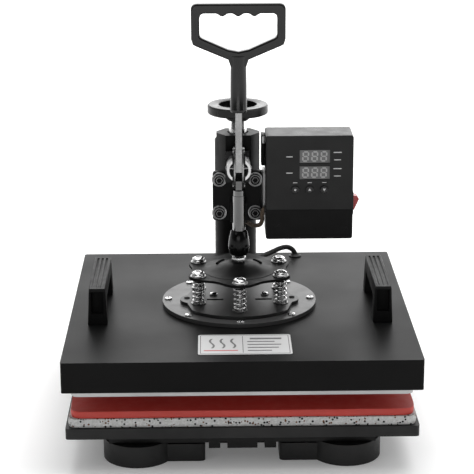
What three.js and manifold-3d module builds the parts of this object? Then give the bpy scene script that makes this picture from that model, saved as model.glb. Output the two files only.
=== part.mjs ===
// Swing-away flat heat press: a heated upper platen that hangs from a push toggle clamp over a padded
// lower platen. Millimetres, +Z up. Pieces are drawn in the platen frame: X and Y are zero on the
// lower platen's centre, -Y is the operator's side and Z is zero on the bench. At the end the whole
// press is moved along Y so that the row's origin is the centre of its footprint.
import * as THREE from "three";
import { mergeVertices } from "three/addons/utils/BufferGeometryUtils.js";
import Module from "manifold-3d";

const wasm = await Module();
wasm.setup();

// ---------------------------------------------------------------- driving dimensions

const GAP = 0.3; // air left between pieces that rest on or are cut by each other
const RUNNING = 0.35; // radial clearance of a shaft or pin in its bore

const COVER = { side: 400, height: 35.4, wall: 1.5, corner: 3 };
const HEATER = { side: COVER.side - 20, thickness: 20, showing: 8, corner: 8 };
const INSULATION = { side: COVER.side - 16 };
const OPENING = 17; // height of the open pressing gap
const LOWER_PLATEN = { side: COVER.side - 6, thickness: 12.5, sheet: 3, corner: 4 };
const SPONGE = { side: LOWER_PLATEN.side - 4, thickness: 10, corner: 10 };
const SILICONE = { side: SPONGE.side - 4, thickness: 8, corner: 14 };

const COLUMN = { clearance: 17.5, radius: 27.5, journal: 22, flange: 44, flangeHeight: 12, washer: 2 };
COLUMN.y = COVER.side / 2 + COLUMN.clearance + COLUMN.radius;
COLUMN.shoulderBelowCover = 32;
COLUMN.collar = { height: 176, cap: 6, wall: 3.2 };

const BASE = { thickness: 13, railWidth: 76, railHeight: 20 };
BASE.frontEnd = 19 - LOWER_PLATEN.side / 2;
BASE.rearEnd = COLUMN.y + COLUMN.flange + 1;
BASE.notch = { x: 21, width: 8, depth: 14, height: 8 };

const FOOT = { radius: 40, height: 25, rearY: COLUMN.y };
FOOT.x = LOWER_PLATEN.side / 2 - 79;
FOOT.frontY = 47 - LOWER_PLATEN.side / 2;
FOOT.tab = { height: 21, reach: FOOT.x - BASE.railWidth / 2 - 4, depth: 44 };
BASE.cross = { halfWidth: FOOT.x + 32, depth: 56 };

const SPRING_BOLT = { circle: 56.5, count: 6, shank: 4, head: 7.4, headHeight: 4.5 };
const DISC = { radius: SPRING_BOLT.circle + 36, thickness: 4.7 };
const SPRING_PLATE = { thickness: 3.7, frontAngle: 0.8, earY: -12, earRadius: 17 };
SPRING_PLATE.earX = SPRING_BOLT.circle - 2.5;
SPRING_PLATE.frontRadius = SPRING_BOLT.circle + 21.5;
SPRING_PLATE.backRadius = SPRING_BOLT.circle + 13.5;
SPRING_PLATE.slot = { x: 29, y: -18, length: 20, width: 5 };
const SPRING = { length: 30, coilRadius: 6.2, wireRadius: 1.2, turns: 5.5, stepsPerTurn: 9, wireSides: 6 };
const TOP_PLATE = { thickness: 3, meanRadius: SPRING_BOLT.circle + 5, lobe: 5.5, steps: 72 };
const DOME = { radius: 37, height: 8.4, flat: 9.5 };

const ROD = { stud: 6.5, core: 5.5, radius: 7.5, neck: 6.9, studLength: 9, chromeLength: 43,
  neckLength: 6.5 };
ROD.tongue = { width: 7.4, depth: 8, length: 11.5 };
const BARREL = { end: 11.4, middle: 12.8, length: 30.4 };

const LEVER = { thickness: 7.5, crank: 21, linkLength: 42 };
LEVER.aboveDatum = 167.25; // the head, clamp and box are set out from a datum this far below the pivot
LEVER.bar = { front: -10, back: 2, heelBack: 6, heelTop: 28, heelDrop: 6, insert: 24 };
const LINK = { thickness: 1.8, width: 9, bow: 8, side: 0.3 };
const PIN = { radius: 2.3, head: 3.5, headHeight: 1.2 };

const GRIP = { stemBottom: 10, stemTop: 9.4, stemBase: 69, dBase: 131, depth: 13, y: -4 };
GRIP.d = { halfWidth: 54.5, shoulder: 17, height: 65, corner: 7, bar: 10, throat: 12, throatRise: 12 };

const CLAMP = { ring: 14.25, sheet: 3, front: -12, slot: 7.6, backPlate: 2.4, halfWidth: 17, height: 44 };
const PLATE = { x: -1.5, halfWidth: 29.5, bottom: 97.5, height: 60.5, thickness: 6, front: 20, corner: 4 };
const CLAMP_BOLT = { spacingX: 43, spacingZ: 41, radius: 7, height: 5.5, socket: 3.1, socketDepth: 3 };
const GUIDE = { halfWidth: 9.6, lip: -1, bottom: 100, height: 25 };

const HEAD = { y: 52.6, width: 52, depth: 40, bottom: 100, height: 99, cap: 13, neckHalf: 7 };
HEAD.cheek = { front: 4, faceHalf: 15 };
const SLIDE = { halfWidth: 13, halfDepth: 13, bottom: 104, height: 61, padHalf: 16 };
const SCREW = { radius: 8, bottom: 120, collar: 11.5, collarHeight: 7 };
const WHEEL = { radius: 36.5, rimInner: 23, rimHeight: 10.5, hub: 13.7, hubHeight: 8.5, web: 3.5,
  rise: 15 };

const ARM = { halfWidth: 14, topAtHead: 184, topAtColumn: 138, bottomAtHead: 110, bottomAtColumn: 20 };

const BOX = { left: 32, width: 103.5, bottom: 79.7, height: 126.3, front: -1, depth: 46, wall: 2,
  corner: 3 };
BOX.panel = { height: 89, thickness: 1, margin: 0.6 };
BOX.window = { left: 39.8, width: 35.8, height: 16.2, upper: 93.2, lower: 73.5 };
BOX.button = { radius: 4.6, rise: 61.3, first: 34.8, step: 17.2, proud: 1.4, length: 7, cap: 5.6 };
BOX.board = { thickness: 1.6, set: 14, margin: 4 };
BOX.bracket = { thickness: 2.5, front: 8, bottom: 107, height: 51, leg: 7 };
BOX.gland = { radius: 8, length: 15, x: 76, rise: 20 };
BOX.lead = { radius: 2.6, sides: 8, steps: 22 };
const ROCKER = { y: 15, rise: 41.4, halfHeight: 8.9, halfDepth: 5.5, inside: 4, proud: 8.3,
  low: 2.4, tipRise: 4.2 };

const SIDE_HANDLE = { x: COVER.side / 2 - 34, halfWidth: 11.5, topHalf: 9.5, front: -78, back: 50,
  height: 43.5, leg: 20 };
SIDE_HANDLE.opening = 27;
SIDE_HANDLE.chamfer = 2.5;

const CABLE = { radius: 3.2, sides: 8, steps: 44, insideSlide: 11.5 };
CABLE.gland = { x: 77, y: COVER.side / 2 - 16, radius: 6, height: 3.4, flange: 8, flangeHeight: 1.2 };

// ---------------------------------------------------------------- heights, worked out from the floor up

const baseBottom = FOOT.height + GAP;
const baseTop = baseBottom + BASE.thickness;
const lowerTop = baseTop + GAP + LOWER_PLATEN.thickness;
const spongeTop = lowerTop + GAP + SPONGE.thickness;
const siliconeTop = spongeTop + GAP + SILICONE.thickness;
const heaterBottom = siliconeTop + OPENING;
const coverBottom = heaterBottom + HEATER.showing + GAP;
const coverTop = coverBottom + COVER.height;
const discTop = coverTop + GAP + DISC.thickness;
const springPlateTop = discTop + GAP + SPRING_PLATE.thickness;
const springBottom = springPlateTop + GAP;
const topPlateBottom = springBottom + SPRING.length + GAP;
const topPlateTop = topPlateBottom + TOP_PLATE.thickness;
const domeTop = topPlateTop + GAP + DOME.height;
const rodBottom = domeTop + GAP;
const barrelBottom = rodBottom + ROD.studLength;
const barrelTop = barrelBottom + BARREL.length;
const neckBottom = barrelTop + ROD.chromeLength;
const tongueBottom = neckBottom + ROD.neckLength;
const linkLowZ = tongueBottom + ROD.tongue.length / 2;
const pivotZ = linkLowZ + LEVER.linkLength - LEVER.crank;
const linkHighZ = pivotZ + LEVER.crank;
const datum = pivotZ - LEVER.aboveDatum;
const headTop = datum + HEAD.bottom + HEAD.height;
const boxBottom = datum + BOX.bottom;

// ---------------------------------------------------------------- geometry helpers

function box(x0, x1, y0, y1, z0, z1) {
  return new THREE.BoxGeometry(x1 - x0, y1 - y0, z1 - z0).translate((x0 + x1) / 2, (y0 + y1) / 2,
    (z0 + z1) / 2);
}

function rodZ(radius, z0, z1, x = 0, y = 0, sides = 32) {
  const bar = new THREE.CylinderGeometry(radius, radius, z1 - z0, sides).rotateX(Math.PI / 2);
  return bar.translate(x, y, (z0 + z1) / 2);
}

function rodX(radius, x0, x1, y, z, sides = 20) {
  const bar = new THREE.CylinderGeometry(radius, radius, x1 - x0, sides).rotateZ(-Math.PI / 2);
  return bar.translate((x0 + x1) / 2, y, z);
}

function rodY(radius, y0, y1, x, z, sides = 20) {
  return new THREE.CylinderGeometry(radius, radius, y1 - y0, sides).translate(x, (y0 + y1) / 2, z);
}

// A profile of [radius, height] pairs turned about the Z axis.
function turned(profile, x = 0, y = 0, sides = 32) {
  const points = profile.map(([radius, height]) => new THREE.Vector2(radius, height));
  return new THREE.LatheGeometry(points, sides).rotateX(Math.PI / 2).translate(x, y, 0);
}

// A ring turned about the Z axis: its profile closes on itself.
function turnedRing(profile, x = 0, y = 0, sides = 32) {
  return turned([...profile, profile[0]], x, y, sides);
}

function raised(shape, z0, z1, curveSegments = 8) {
  return new THREE.ExtrudeGeometry(shape, { depth: z1 - z0, bevelEnabled: false,
    curveSegments }).translate(0, 0, z0);
}

// A shape drawn in (Y, Z) and thickened along X.
function alongX(shape, x0, x1, curveSegments = 8) {
  const solid = new THREE.ExtrudeGeometry(shape, { depth: x1 - x0, bevelEnabled: false, curveSegments });
  return solid.rotateX(Math.PI / 2).rotateZ(Math.PI / 2).translate(x0, 0, 0);
}

// A shape drawn in (X, Z) and thickened along Y.
function alongY(shape, y0, y1, curveSegments = 8) {
  const solid = new THREE.ExtrudeGeometry(shape, { depth: y1 - y0, bevelEnabled: false, curveSegments });
  return solid.rotateX(Math.PI / 2).translate(0, y1, 0);
}

function roundedRectangle(x0, x1, y0, y1, corner) {
  const shape = new THREE.Shape();
  shape.moveTo(x0 + corner, y0);
  shape.lineTo(x1 - corner, y0);
  shape.absarc(x1 - corner, y0 + corner, corner, -Math.PI / 2, 0);
  shape.lineTo(x1, y1 - corner);
  shape.absarc(x1 - corner, y1 - corner, corner, 0, Math.PI / 2);
  shape.lineTo(x0 + corner, y1);
  shape.absarc(x0 + corner, y1 - corner, corner, Math.PI / 2, Math.PI);
  shape.lineTo(x0, y0 + corner);
  shape.absarc(x0 + corner, y0 + corner, corner, Math.PI, 1.5 * Math.PI);
  return shape;
}

function polygon(points) {
  return new THREE.Shape(points.map(([u, v]) => new THREE.Vector2(u, v)));
}

function squareSlab(side, corner, z0, z1) {
  return raised(roundedRectangle(-side / 2, side / 2, -side / 2, side / 2, corner), z0, z1, 5);
}

function solidOf(geometry) {
  const bare = geometry.clone();
  bare.deleteAttribute("normal");
  bare.deleteAttribute("uv");
  const merged = mergeVertices(bare, 1e-4);
  const vertProperties = new Float32Array(merged.attributes.position.array);
  const triVerts = new Uint32Array(merged.index.array);
  return new wasm.Manifold(new wasm.Mesh({ numProp: 3, vertProperties, triVerts }));
}

function geometryOf(solid) {
  const mesh = solid.getMesh();
  const geometry = new THREE.BufferGeometry();
  geometry.setAttribute("position", new THREE.BufferAttribute(new Float32Array(mesh.vertProperties), 3));
  geometry.setIndex(new THREE.BufferAttribute(new Uint32Array(mesh.triVerts), 1));
  return geometry;
}

function joined(first, ...rest) {
  return geometryOf(rest.reduce((sum, piece) => sum.add(solidOf(piece)), solidOf(first)));
}

function cut(body, ...tools) {
  return geometryOf(tools.reduce((left, tool) => left.subtract(solidOf(tool)), solidOf(body)));
}

// ---------------------------------------------------------------- finishes

const finish = (color, roughness, metalness) => () => new THREE.MeshStandardMaterial({ color,
  roughness, metalness });
const blackPaint = finish(0x1c1c1e, 0.45, 0.1);
const greyPaint = finish(0x3a3a3d, 0.4, 0.2);
const blackPlastic = finish(0x141416, 0.35, 0);
const blackRubber = finish(0x232325, 0.8, 0);
const chrome = finish(0xd8d8da, 0.15, 1);
const zinc = finish(0xb8b9bb, 0.35, 0.9);
const aluminium = finish(0xc9cacc, 0.4, 0.9);
const redSilicone = finish(0xb02a1e, 0.6, 0);
const greySponge = finish(0xa6a4a0, 0.95, 0);
const mineralWool = finish(0xd8cfae, 0.95, 0);
const redPlastic = finish(0xd01c12, 0.3, 0);
const displayRed = finish(0x2a0e0e, 0.2, 0);
const boardGreen = finish(0x1d5a36, 0.6, 0);

const press = new THREE.Group();

function add(name, geometry, material) {
  const mesh = new THREE.Mesh(geometry, material());
  mesh.name = name;
  press.add(mesh);
}

// ---------------------------------------------------------------- base and lower platen

function foot(side, y) {
  const puck = rodZ(FOOT.radius, 0, FOOT.height, side * FOOT.x, y, 40);
  const inner = side * (FOOT.x - FOOT.tab.reach);
  const x0 = Math.min(side * FOOT.x, inner);
  const x1 = Math.max(side * FOOT.x, inner);
  const tab = raised(roundedRectangle(x0, x1, y - FOOT.tab.depth / 2, y + FOOT.tab.depth / 2, 5),
    0, FOOT.tab.height, 4);
  return joined(puck, tab);
}

function baseFrame() {
  const half = BASE.railWidth / 2;
  const railBottom = baseTop - BASE.railHeight;
  const rail = box(-half, half, BASE.frontEnd, BASE.rearEnd, railBottom, baseTop);
  const crossAt = (y0, y1) => box(-BASE.cross.halfWidth, BASE.cross.halfWidth, y0, y1, baseBottom, baseTop);
  const front = crossAt(FOOT.frontY - BASE.cross.depth / 2, FOOT.frontY + BASE.cross.depth / 2);
  const rear = crossAt(BASE.rearEnd - BASE.cross.depth - FOOT.radius / 2, BASE.rearEnd);
  const notchAt = (x) => {
    const x0 = x - BASE.notch.width / 2;
    const y1 = BASE.frontEnd + BASE.notch.depth;
    return box(x0, x0 + BASE.notch.width, BASE.frontEnd - 1, y1, railBottom - 1,
      railBottom + BASE.notch.height);
  };
  return cut(joined(rail, front, rear), notchAt(-BASE.notch.x), notchAt(BASE.notch.x));
}

// The lower platen is a steel tray, open underneath.
function lowerPlaten() {
  const bottom = baseTop + GAP;
  const tray = squareSlab(LOWER_PLATEN.side, LOWER_PLATEN.corner, bottom, lowerTop);
  const inside = LOWER_PLATEN.side - 2 * LOWER_PLATEN.sheet;
  const ribs = FOOT.x - FOOT.radius / 2;
  const recess = (x0, x1) => box(x0, x1, -inside / 2, inside / 2, bottom - 1,
    lowerTop - LOWER_PLATEN.sheet);
  return cut(tray, recess(-inside / 2, -ribs), recess(-ribs + 6, ribs - 6), recess(ribs, inside / 2));
}

function post() {
  const shoulder = coverTop - COLUMN.shoulderBelowCover;
  const top = shoulder + COLUMN.washer + COLUMN.collar.height - COLUMN.collar.cap - 2;
  const profile = [
    [0, baseTop + GAP],
    [COLUMN.flange, baseTop + GAP],
    [COLUMN.flange, baseTop + GAP + COLUMN.flangeHeight],
    [COLUMN.radius, baseTop + GAP + COLUMN.flangeHeight + 3],
    [COLUMN.radius, shoulder],
    [COLUMN.journal, shoulder],
    [COLUMN.journal, top],
    [0, top],
  ];
  return turned(profile, 0, COLUMN.y, 40);
}

function addBase() {
  add("base_frame", baseFrame(), blackPaint);
  for (const [row, y] of [["front", FOOT.frontY], ["rear", FOOT.rearY]]) {
    add(`foot_${row}_left`, foot(-1, y), blackRubber);
    add(`foot_${row}_right`, foot(1, y), blackRubber);
  }
  add("lower_platen", lowerPlaten(), blackPaint);
  add("sponge_pad", squareSlab(SPONGE.side, SPONGE.corner, lowerTop + GAP, spongeTop), greySponge);
  add("silicone_pad", squareSlab(SILICONE.side, SILICONE.corner, spongeTop + GAP, siliconeTop),
    redSilicone);
  add("post", post(), blackPaint);
}

// ---------------------------------------------------------------- swing arm and head

const washerBottom = coverTop - COLUMN.shoulderBelowCover + GAP;
const collarBottom = washerBottom + COLUMN.washer + GAP;
const collarTop = collarBottom + COLUMN.collar.height;

function swingCollar() {
  const bore = COLUMN.radius - COLUMN.collar.wall;
  const ceiling = collarTop - COLUMN.collar.cap;
  const profile = [
    [0, ceiling],
    [bore, ceiling],
    [bore, collarBottom],
    [COLUMN.radius, collarBottom],
    [COLUMN.radius, collarTop - 2],
    [COLUMN.radius - 2, collarTop],
    [0, collarTop],
  ];
  return turned(profile, 0, COLUMN.y, 40);
}

function swingBush() {
  const inner = COLUMN.journal + RUNNING;
  const outer = COLUMN.radius - COLUMN.collar.wall - GAP;
  const top = collarTop - COLUMN.collar.cap - GAP;
  return turnedRing([[inner, collarBottom], [outer, collarBottom], [outer, top], [inner, top]], 0,
    COLUMN.y, 40);
}

function thrustWasher() {
  const inner = COLUMN.journal + RUNNING;
  const top = washerBottom + COLUMN.washer;
  const profile = [[inner, washerBottom], [COLUMN.radius, washerBottom], [COLUMN.radius, top],
    [inner, top]];
  return turnedRing(profile, 0, COLUMN.y, 40);
}

function swingArm() {
  const nearHead = HEAD.y + HEAD.depth / 2 + GAP;
  const shape = new THREE.Shape();
  shape.moveTo(nearHead, datum + ARM.topAtHead);
  shape.lineTo(nearHead, datum + ARM.bottomAtHead);
  const rise = ARM.bottomAtHead - ARM.bottomAtColumn;
  const reach = COLUMN.y - COLUMN.radius / 2 - nearHead;
  const steps = 14;
  for (let i = 1; i <= steps; i++) {
    const angle = (i / steps) * (Math.PI / 2);
    shape.lineTo(nearHead + reach * Math.sin(angle), datum + ARM.bottomAtColumn + rise * Math.cos(angle));
  }
  shape.lineTo(nearHead + reach, datum + ARM.topAtColumn);
  const web = alongX(shape, -ARM.halfWidth, ARM.halfWidth);
  const room = rodZ(COLUMN.radius + GAP, collarBottom - 1, collarTop + 1, 0, COLUMN.y, 40);
  return cut(web, room);
}

// The head is a column with eight sides: flat cheeks, a flat front and back and sloping corners.
function headOutline() {
  const w = HEAD.width / 2;
  const d = HEAD.depth / 2;
  const { front, faceHalf } = HEAD.cheek;
  return polygon([
    [-faceHalf, HEAD.y - d],
    [faceHalf, HEAD.y - d],
    [w, HEAD.y - front],
    [w, HEAD.y + front],
    [faceHalf, HEAD.y + d],
    [-faceHalf, HEAD.y + d],
    [-w, HEAD.y + front],
    [-w, HEAD.y - front],
  ]);
}

function headHousing() {
  const bottom = datum + HEAD.bottom;
  const ceiling = headTop - HEAD.cap;
  const slideX = SLIDE.halfWidth + GAP;
  const slideY = SLIDE.halfDepth + GAP;
  const column = raised(headOutline(), bottom, headTop);
  const way = box(-slideX, slideX, HEAD.y - slideY, HEAD.y + slideY, bottom - 1, ceiling);
  const neck = HEAD.neckHalf + GAP;
  const slot = box(-neck, neck, HEAD.y - HEAD.depth, HEAD.y, bottom - 1, ceiling);
  const bore = rodZ(SCREW.radius + RUNNING, ceiling - 1, headTop + 1, 0, HEAD.y);
  const recess = rodZ(SCREW.collar + RUNNING + 1, headTop - 2, headTop + 1, 0, HEAD.y);
  return cut(column, way, slot, bore, recess);
}

function addSwingArm() {
  add("thrust_washer", thrustWasher(), chrome);
  add("swing_collar", swingCollar(), blackPaint);
  add("swing_bush", swingBush(), blackPlastic);
  add("swing_arm", swingArm(), blackPaint);
  add("head_housing", headHousing(), blackPaint);
}

// ---------------------------------------------------------------- pressure adjustment

const wheelBottom = headTop + WHEEL.rise;

function pressureWheel() {
  const bore = SCREW.radius + GAP;
  const rimBottom = wheelBottom + WHEEL.hubHeight;
  const rimTop = rimBottom + WHEEL.rimHeight;
  const ease = 1.2;
  const profile = [
    [bore, wheelBottom],
    [WHEEL.hub - ease, wheelBottom],
    [WHEEL.hub, wheelBottom + ease],
    [WHEEL.hub, rimBottom],
    [WHEEL.radius - ease, rimBottom],
    [WHEEL.radius, rimBottom + ease],
    [WHEEL.radius, rimTop - ease],
    [WHEEL.radius - ease, rimTop],
    [WHEEL.rimInner, rimTop],
    [WHEEL.rimInner, rimBottom + WHEEL.web],
    [bore, rimBottom + WHEEL.web],
  ];
  return turnedRing(profile, 0, HEAD.y, 40);
}

function pressureScrew() {
  const top = wheelBottom + WHEEL.hubHeight + WHEEL.web;
  return rodZ(SCREW.radius, datum + SCREW.bottom, top, 0, HEAD.y, 32);
}

function screwCollar() {
  const inner = SCREW.radius + GAP;
  const bottom = headTop - 2 + GAP;
  const top = bottom + SCREW.collarHeight;
  const profile = [[inner, bottom], [SCREW.collar, bottom], [SCREW.collar - 1, top], [inner, top]];
  return turnedRing(profile, 0, HEAD.y);
}

function addPressureScrew() {
  add("pressure_wheel", pressureWheel(), blackPaint);
  add("pressure_screw", pressureScrew(), chrome);
  add("screw_collar", screwCollar(), chrome);
}

// ---------------------------------------------------------------- carriage and toggle clamp

function carriageSlide() {
  const bottom = datum + SLIDE.bottom;
  const top = bottom + SLIDE.height;
  const y0 = HEAD.y - SLIDE.halfDepth;
  const block = box(-SLIDE.halfWidth, SLIDE.halfWidth, y0, HEAD.y + SLIDE.halfDepth, bottom, top);
  const neckTop = Math.min(top, datum + PLATE.bottom + PLATE.height) - 2;
  const behindPlate = PLATE.front + PLATE.thickness + GAP;
  const headFront = HEAD.y - HEAD.depth / 2 - GAP;
  const neck = box(-HEAD.neckHalf, HEAD.neckHalf, behindPlate, y0 + 1, bottom, neckTop);
  const pad = box(-SLIDE.padHalf, SLIDE.padHalf, behindPlate, headFront, bottom, neckTop);
  const thread = rodZ(SCREW.radius + GAP, bottom - 1, top + 1, 0, HEAD.y);
  return cut(joined(block, neck, pad), thread);
}

function clampPlate() {
  const bottom = datum + PLATE.bottom;
  const outline = roundedRectangle(
    PLATE.x - PLATE.halfWidth,
    PLATE.x + PLATE.halfWidth,
    bottom,
    bottom + PLATE.height,
    PLATE.corner,
  );
  const plate = alongY(outline, PLATE.front, PLATE.front + PLATE.thickness, 4);
  const middle = bottom + PLATE.height / 2;
  const heads = [];
  const sockets = [];
  for (const side of [-1, 1]) {
    for (const level of [-1, 1]) {
      const x = PLATE.x + (side * CLAMP_BOLT.spacingX) / 2;
      const z = middle + (level * CLAMP_BOLT.spacingZ) / 2;
      const face = PLATE.front - CLAMP_BOLT.height;
      heads.push(rodY(CLAMP_BOLT.radius, face, PLATE.front + 1, x, z));
      sockets.push(rodY(CLAMP_BOLT.socket, face - 1, face + CLAMP_BOLT.socketDepth, x, z, 6));
    }
  }
  return cut(joined(plate, ...heads), ...sockets);
}

function clampBody() {
  const back = PLATE.front - GAP;
  const face = back - CLAMP.backPlate;
  const outer = rodY(CLAMP.ring, CLAMP.front, back, 0, pivotZ, 32);
  const inner = rodY(CLAMP.ring - CLAMP.sheet, CLAMP.front - 1, face, 0, pivotZ, 32);
  const slot = box(-CLAMP.slot, CLAMP.slot, CLAMP.front - 1, face, pivotZ - 2 * CLAMP.ring,
    pivotZ + 2 * CLAMP.ring);
  const half = CLAMP.height / 2;
  const flange = box(-CLAMP.halfWidth, CLAMP.halfWidth, face, back, pivotZ - half, pivotZ + half - 6);
  const limit = CLAMP_BOLT.spacingX / 2 - CLAMP_BOLT.radius;
  const corners = [-1, 1].map((side) => {
    const inside = PLATE.x + side * limit;
    const x0 = side < 0 ? -3 * limit : inside - GAP;
    const x1 = side < 0 ? inside + GAP : 3 * limit;
    return box(x0, x1, face - 1, back + 1, pivotZ - 2 * half, pivotZ + 2 * half);
  });
  const hole = rodX(PIN.radius + RUNNING, -2 * CLAMP.ring, 2 * CLAMP.ring, 0, pivotZ);
  return cut(joined(cut(outer, inner, slot), cut(flange, ...corners)), hole);
}

function guideBlock() {
  const bottom = datum + GUIDE.bottom;
  const top = bottom + GUIDE.height;
  const block = box(-GUIDE.halfWidth, GUIDE.halfWidth, GUIDE.lip, PLATE.front - GAP, bottom, top);
  return cut(block, rodZ(ROD.radius + RUNNING, bottom - 1, top + 1));
}

function leverPin() {
  const end = CLAMP.ring + PIN.headHeight;
  return rodX(PIN.radius, -end, end, 0, pivotZ);
}

function addCarriage() {
  add("carriage_slide", carriageSlide(), greyPaint);
  add("clamp_plate", clampPlate(), blackPaint);
  add("clamp_body", clampBody(), zinc);
  add("guide_block", guideBlock(), blackPaint);
  add("lever_pin", leverPin(), zinc);
}

// ---------------------------------------------------------------- control box

const boxRight = BOX.left + BOX.width;
const boxTop = boxBottom + BOX.height;
const boxBack = BOX.front + BOX.depth;

function windowBox(rise, growth, y0, y1) {
  const x0 = BOX.left + BOX.window.left - growth;
  const z0 = boxBottom + rise - growth;
  return box(x0, x0 + BOX.window.width + 2 * growth, y0, y1, z0, z0 + BOX.window.height + 2 * growth);
}

function buttonPlace(index) {
  return { x: BOX.left + BOX.button.first + index * BOX.button.step, z: boxBottom + BOX.button.rise };
}

function panelCuts(y0, y1) {
  const windows = [BOX.window.upper, BOX.window.lower].map((rise) => windowBox(rise, GAP, y0, y1));
  const holes = [0, 1, 2].map((index) => {
    const place = buttonPlace(index);
    return rodY(BOX.button.radius + RUNNING, y0, y1, place.x, place.z, 20);
  });
  return [...windows, ...holes];
}

function controlBox() {
  const outline = roundedRectangle(BOX.left, boxRight, boxBottom, boxTop, BOX.corner);
  const inside = roundedRectangle(
    BOX.left + BOX.wall,
    boxRight - BOX.wall,
    boxBottom + BOX.wall,
    boxTop - BOX.wall,
    BOX.corner - BOX.wall / 2,
  );
  const shell = alongY(outline, BOX.front, boxBack, 4);
  const hollow = alongY(inside, BOX.front + BOX.wall, boxBack + 1, 4);
  const z = boxBottom + ROCKER.rise;
  const reach = ROCKER.halfHeight + 1;
  const side = ROCKER.halfDepth + 0.5;
  const rocker = box(boxRight - 3 * BOX.wall, boxRight + 1, ROCKER.y - side, ROCKER.y + side,
    z - reach, z + reach);
  return cut(shell, hollow, rocker, ...panelCuts(BOX.front - 1, BOX.front + BOX.wall + 1));
}

function boxBackCover() {
  const inset = BOX.wall + GAP;
  const x0 = BOX.left + inset;
  const outline = roundedRectangle(x0, boxRight - inset, boxBottom + inset, boxTop - inset, BOX.corner);
  return alongY(outline, boxBack - BOX.wall, boxBack, 4);
}

function controlPanel() {
  const y1 = BOX.front - GAP;
  const z1 = boxTop - BOX.panel.margin;
  const x0 = BOX.left + BOX.panel.margin;
  const x1 = boxRight - BOX.panel.margin;
  const outline = roundedRectangle(x0, x1, z1 - BOX.panel.height, z1, BOX.corner - BOX.panel.margin);
  const plate = alongY(outline, y1 - BOX.panel.thickness, y1, 4);
  return cut(plate, ...panelCuts(y1 - 2 * BOX.panel.thickness, y1 + 1));
}

function circuitBoard() {
  const y = BOX.front + BOX.board.set;
  const m = BOX.wall + BOX.board.margin;
  return box(BOX.left + m, boxRight - m, y, y + BOX.board.thickness, boxBottom + m, boxTop - m);
}

function pushButton(index) {
  const place = buttonPlace(index);
  const front = BOX.front - GAP - BOX.panel.thickness - BOX.button.proud;
  const stem = rodY(BOX.button.radius, front, front + BOX.button.length, place.x, place.z);
  const capFront = BOX.front + BOX.wall + 2 * GAP;
  return joined(stem, rodY(BOX.button.cap, capFront, front + BOX.button.length, place.x, place.z));
}

function rockerSwitch() {
  const z = boxBottom + ROCKER.rise;
  const h = ROCKER.halfHeight;
  const profile = polygon([
    [boxRight - ROCKER.inside, z - h + 3],
    [boxRight + ROCKER.low, z - h],
    [boxRight + ROCKER.proud, z + ROCKER.tipRise],
    [boxRight + ROCKER.proud - 2.4, z + h - 0.6],
    [boxRight + 0.5, z + h],
    [boxRight - ROCKER.inside, z + h - 3],
  ]);
  return alongY(profile, ROCKER.y - ROCKER.halfDepth, ROCKER.y + ROCKER.halfDepth);
}

function boxBracket() {
  const x1 = BOX.left - GAP;
  const x0 = x1 - BOX.bracket.thickness;
  const z0 = datum + BOX.bracket.bottom;
  const z1 = z0 + BOX.bracket.height;
  const behind = PLATE.front + PLATE.thickness + GAP;
  const flange = box(x0, x1, BOX.bracket.front, boxBack - 3, z0, z1);
  return joined(flange, box(x0 - BOX.bracket.leg, x1, behind, behind + BOX.bracket.thickness, z0, z1));
}

// The mains lead's gland stands out of the back cover.
function mainsGland() {
  const { radius, length } = BOX.gland;
  const profile = [[0, 0], [radius, 0], [radius, length * 0.6], [radius * 0.8, length * 0.65]];
  profile.push([radius * 0.55, length], [0, length]);
  const gland = turned(profile, 0, 0, 20).rotateX(-Math.PI / 2);
  return gland.translate(BOX.left + BOX.gland.x, boxBack + GAP, boxBottom + BOX.gland.rise);
}

// The supply lead is braided and runs from the box's left wall down to the carriage block.
function braidedLead() {
  const start = BOX.left - GAP;
  const blockBottom = SLIDE.bottom - GAP;
  const route = [
    [start - 0.5, 3, 116],
    [start - 2, 3, 115.8],
    [start - 3.6, 4, 110],
    [start - 3.8, 7, 101],
    [start - 6, 13, 94],
    [start - 12, 22, 90],
    [start - 18, 32, 89],
    [start - 22, HEAD.y - 12, 91],
    [start - 23, HEAD.y - 9, 96],
    [start - 23, HEAD.y - 9, blockBottom],
  ].map(([x, y, z]) => new THREE.Vector3(x, y, datum + z));
  const extrudePath = new THREE.CatmullRomCurve3(route, false, "centripetal");
  return new THREE.ExtrudeGeometry(wireSection(BOX.lead.radius, BOX.lead.sides), {
    steps: BOX.lead.steps,
    extrudePath,
    bevelEnabled: false,
  });
}

function addControlBox() {
  add("box_bracket", boxBracket(), zinc);
  add("control_box", controlBox(), blackPaint);
  add("box_back_cover", boxBackCover(), blackPaint);
  add("control_panel", controlPanel(), blackPlastic);
  const depth = BOX.board.set - GAP;
  add("upper_display", windowBox(BOX.window.upper, 0, BOX.front, BOX.front + depth), displayRed);
  add("lower_display", windowBox(BOX.window.lower, 0, BOX.front, BOX.front + depth), displayRed);
  add("circuit_board", circuitBoard(), boardGreen);
  add("mains_gland", mainsGland(), blackRubber);
  add("braided_lead", braidedLead(), blackRubber);
  ["set_button", "up_button", "down_button"].forEach((name, index) => add(name, pushButton(index),
    blackPlastic));
  add("rocker_switch", rockerSwitch(), redPlastic);
}

// ---------------------------------------------------------------- lever, grip and links

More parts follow.
